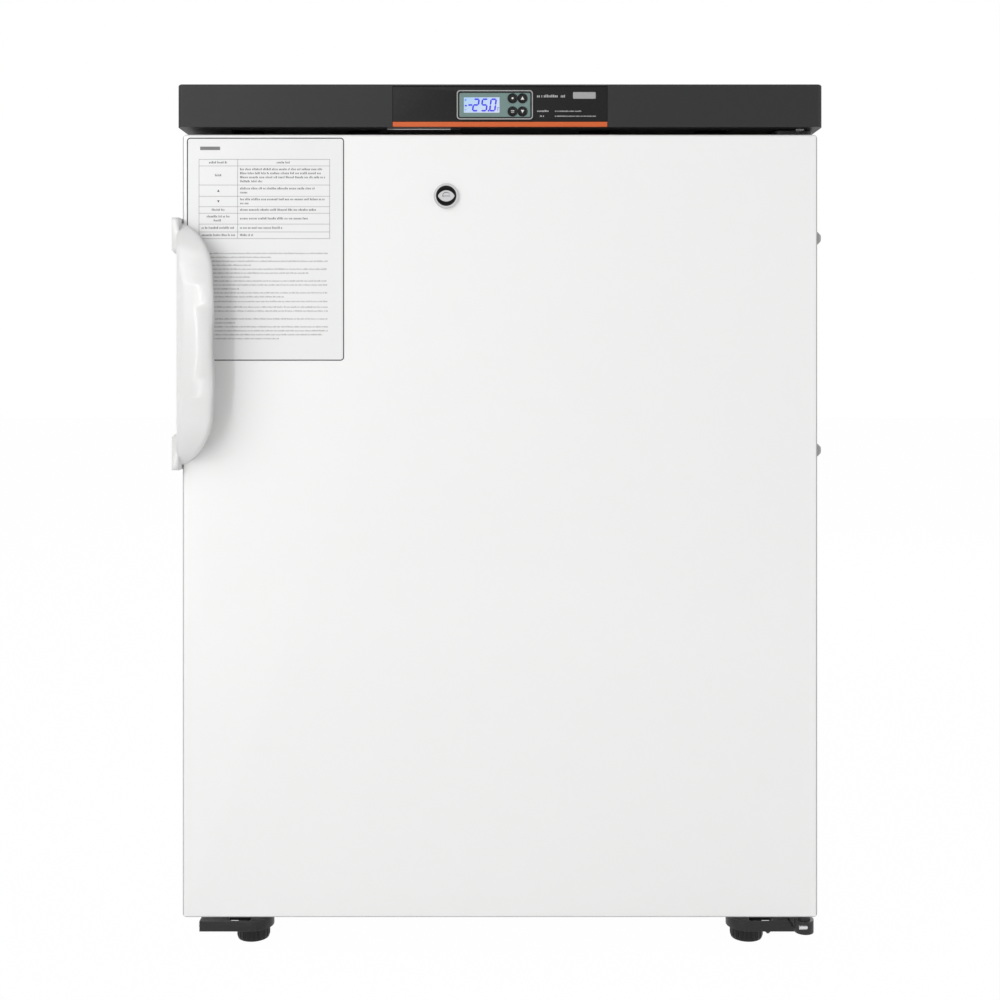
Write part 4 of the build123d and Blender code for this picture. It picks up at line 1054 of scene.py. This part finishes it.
cover_screw_profile = [(0.0, 2.6), (0.8, 2.6), (1.5, 1.9), (1.8, 0.8)]
bolt_profile = [(-1.0, 2.5), (1.6, 2.5), (2.2, 1.9), (2.3, 0.5)]
pin_profile = [(0.0, 1.6), (0.6, 2.2), (7.4, 2.2), (8.0, 1.6)]
tip_profile = [(-0.5, 2.9), (1.2, 2.8), (3.0, 1.2), (3.2, 0.3)]
bowl_profile = [(0.02, 9.35), (3.92, 6.0), (4.42, 5.15), (4.5, 5.15), (4.0, 6.0), (0.1, 9.35), (0.02, 9.35)]

eye_half_width = 7.75 * MM
eye_half_height = 5.2 * MM
eye_opening = 3.7 * MM
eye_front, eye_back = 1.5 * MM, 2.2 * MM
eye_steps = 48


def rear_screws():
    """Pan-head screws round the rear sheets, with painted shade: a dark cross on each head where its recess
    is.
    """
    sides = (back_low.x + sheet_inset, back_high.x - sheet_inset)
    places = [(x, z) for row in screw_rows for x in sides for z in spaced(*row)]
    places += [(x, grille_high.z - sheet_inset) for x in top_screws]
    y = back_high.y
    vertices, faces, recess_shades = [], [], []
    for x, z in places:
        faces += capped(len(screw_profile), screw_sides, len(vertices), inward=True)
        vertices += [(x + screw_radius * share * across, y + height * screw_height,
                      z + screw_radius * share * up)
                     for height, share in screw_profile for across, up in circle(screw_sides)]
        recess_shades.append(rectangle(x - cross_reach, x + cross_reach, z - cross_half, z + cross_half))
        recess_shades.append(rectangle(x - cross_half, x + cross_half, z - cross_reach, z + cross_reach))
    smooth(new_piece("rear_screws", vertices, faces, "cabinet", "zinc_steel"), 50.0)
    # Painted shade: flat near-black crosses stand proud of the heads in place of the shade in cross recesses
    # that are not cut
    prisms("rear_screws_painted_recess_shade", recess_shades, y + screw_height * cross_floor, y + screw_height * cross_top,
           "cabinet", "mount_rubber")


def strike_lip():
    """Bright lip of the lock's strike plate."""
    low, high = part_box("strike_plate")
    outline = rectangle(low.x, high.x - strike_lip_end, low.z - strike_lip_drop, high.z)
    front, back = low.y - strike_lip_front, low.y + strike_lip_back
    bevel(prisms("strike_plate_lip", [outline], front, back, "cabinet", "chrome"), 0.15 * MM)


def turned_fittings():
    """Screws under the cover's front, bolt and screw tip at the foot brackets, and the hinge's cross pin."""
    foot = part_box("left_foot_bracket")[0]
    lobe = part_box("bottom_hinge_bracket")[0]
    cover_y, cover_z = cover_low.y + 16 * MM, cover_low.z + 4 * MM
    down = (0, 0, -1)
    for name, profile, place, axis, slot, sides in (
        ("cover_screw_1", cover_screw_profile, (280.0 * MM, cover_y, cover_z), down, "zinc_steel", 20),
        ("cover_screw_2", cover_screw_profile, (283.5 * MM, cover_y, cover_z), down, "zinc_steel", 20),
        ("left_bracket_bolt", bolt_profile, (foot.x, foot.y + 9 * MM, foot.z + 3.4 * MM), (-1, 0, 0),
         "zinc_steel", 24),
        ("hinge_cross_pin", pin_profile, (281.5 * MM, lobe.y + 1.2 * MM, 29.0 * MM), (1, 0, 0),
         "zinc_steel", 24),
        ("right_bracket_screw", tip_profile, (259.0 * MM, foot.y + 4 * MM, foot.z), down, "black_steel", 24),
    ):
        lathe(name, profile, place, axis, "cabinet", slot, sides)


def lock_face():
    """Black inside of the lock's dished ring, painted dark reflection of a bowl that is chrome, and an
    eye-shaped web across it, open round the keyway.
    """
    x, y, z = front_centre("lock_housing")
    # Painted reflection: the bowl is black plastic where the real chrome bowl shows dark reflections
    lathe("lock_bowl_dark_reflection", bowl_profile, (x, y, z), (0, 1, 0), "door", "black_plastic", 48)
    arc = (eye_half_width ** 2 + eye_half_height ** 2) / (2 * eye_half_height)
    offset = arc - eye_half_height
    rays = []
    for across, up in circle(eye_steps):
        reach = math.sqrt(arc ** 2 - offset ** 2 + (offset * up) ** 2) - offset * abs(up)
        rays.append(((x + across * eye_opening, z + up * eye_opening), (x + across * reach, z + up * reach)))
    outlines = [[start[0], start[1], end[1], end[0]] for start, end in zip(rays, rays[1:] + rays[:1])]
    prisms("lock_eye", outlines, y + eye_front, y + eye_back, "door", "chrome")


rear_screws()
strike_lip()
turned_fittings()
lock_face()

# Finishes and edges of the fixed frame's own pieces

soft_edges = {
    "handle": 1.0 * MM, "control_panel": 0.25 * MM, "display_plate": 0.2 * MM, "display_bezel": 0.3 * MM,
    "strike_plate": 0.2 * MM, "left_foot_bracket": 0.5 * MM, "bottom_hinge_bracket": 0.5 * MM,
    "relay_cover": 0.8 * MM, "mains_gland": 0.5 * MM, "condenser_clips": 0.8 * MM,
}


def make_edge_shading():
    """Geometry nodes that shade a solid smooth except along its sharp edges."""
    tree = bpy.data.node_groups.new("edge_shading", "GeometryNodeTree")
    for way in ("INPUT", "OUTPUT"):
        tree.interface.new_socket(name="Geometry", in_out=way, socket_type="NodeSocketGeometry")
    given, out = tree.nodes.new("NodeGroupInput"), tree.nodes.new("NodeGroupOutput")
    angle = add(tree, "GeometryNodeInputMeshEdgeAngle").outputs["Unsigned Angle"]
    sharp = add(tree, "FunctionNodeCompare", {0: angle, 1: math.radians(28.0)}, data_type="FLOAT",
                operation="GREATER_THAN").outputs[0]
    inputs = {0: given.outputs[0], "Remove Custom": True, "Edge Sharpness": sharp}
    normal = add(tree, "GeometryNodeSetMeshNormal", inputs, mode="SHARPNESS")
    tree.links.new(normal.outputs[0], out.inputs[0])
    return tree


edge_shading = make_edge_shading()

own_finish = {
    "handle": moulded_white,
    # Painted shade: the bezel is black to stand for the shade of the dark gap inside the pale rim round the
    # screen
    "display_bezel": finishes["black_plastic"],
    "strike_plate": finishes["black_steel"],
    "hole_plugs": frame_silver,
    "fixing_screws": finishes["black_steel"],
}


def dress_frame():
    """Each fixed piece takes its slot's finish, and soft edges where the real one has them."""
    slot_of = {s["node"]: s["material_slot"] for s in frame["record"]["subparts"]}
    for name, piece in frame["nodes"].items():
        material = own_finish.get(name, finishes[slot_of[name]])
        for place in piece.material_slots:
            place.material = material
        weld = piece.modifiers.new("join_corners", "WELD")
        weld.merge_threshold = 0.001 * MM
        if name in soft_edges:
            round_edges(piece, soft_edges[name], 3)
        shading = piece.modifiers.new("edge_shading", "NODES")
        shading.node_group = edge_shading


dress_frame()

# Light, floor and camera

sky_level = 0.505
floor_share = 0.985
floor_half = 12.0

# Lamps: place, what they aim at, width, height and power
lamps = {
    "key": ((-1.6, -2.1, 1.8), (0.0, -0.2, 0.5), 2.2, 2.2, 32.0),
    "left_strip": ((-0.82, -1.8, 0.65), (-0.28, -0.29, 0.58), 0.1, 1.3, 3.2),
    "right_strip": ((1.5, -1.2, 0.75), (0.3, -0.25, 0.5), 0.12, 1.3, 3.2),
    "low": ((0.0, -1.3, 0.06), (0.0, -0.3, 0.4), 1.2, 0.2, 0.35),
    "rear": ((0.8, 2.4, 1.8), (0.0, 0.2, 0.4), 1.6, 1.6, 22.0),
}


def seen_directly(tree):
    """1 for camera, glossy and transmission rays, and 0 for others."""
    path = put(tree, "LightPath").outputs
    sharp = sums(tree, "MAXIMUM", path["Is Glossy Ray"], path["Is Transmission Ray"])
    return sums(tree, "MAXIMUM", path["Is Camera Ray"], sharp)


def make_world():
    """A white studio that lights the freezer at a plain level."""
    world = bpy.data.worlds.new("studio")
    bpy.context.scene.world = world
    world.use_nodes = True
    tree = world.node_tree
    level = ramp(tree, seen_directly(tree), 0.0, 1.0, sky_level)
    tree.links.new(level, tree.nodes["Background"].inputs["Strength"])
    tree.nodes["Background"].inputs["Color"].default_value = grey(1.0)


def make_floor():
    """A pale floor that keeps a soft shadow."""
    material, tree, _ = new_finish("studio_floor", Base_Color=grey(0.95), Roughness=0.9,
                                   Specular_IOR_Level=0.0)
    matt = tree.nodes["Principled BSDF"]
    glow = put(tree, "Emission", {"Color": grey(1.0), "Strength": 1.0})
    share = times(tree, seen_directly(tree), floor_share)
    mixed = put(tree, "MixShader", {0: share, 1: matt.outputs[0], 2: glow.outputs[0]})
    tree.links.new(mixed.outputs[0], tree.nodes["Material Output"].inputs["Surface"])
    corners = rectangle(-floor_half, floor_half, -floor_half, floor_half)
    mesh = bpy.data.meshes.new("floor")
    mesh.from_pydata([(x, y, 0) for x, y in corners], [], [(0, 1, 2, 3)])
    mesh.materials.append(material)
    stand("floor", mesh)


def softbox(name, place, aim, width, height, power):
    """A rectangular area lamp aimed at a point."""
    light = bpy.data.lights.new(name, "AREA")
    light.shape = "RECTANGLE"
    light.size = width
    light.size_y = height
    light.energy = power
    lamp = stand(name, light)
    lamp.location = place
    lamp.rotation_euler = (Vector(aim) - Vector(place)).to_track_quat("-Z", "Y").to_euler()


def make_camera():
    """The photograph's level view, with the frame shifted down."""
    lens = bpy.data.cameras.new("camera")
    lens.lens = camera_lens
    lens.sensor_width = camera_sensor
    lens.shift_y = camera_shift
    camera = stand("camera", lens)
    camera.location = (0.0, -camera_back, camera_height)
    camera.rotation_euler = (math.radians(90.0), 0.0, 0.0)
    bpy.context.scene.camera = camera


make_world()
make_floor()
for name, values in lamps.items():
    softbox(name, *values)
make_camera()

bpy.context.scene.view_settings.view_transform = "Standard"
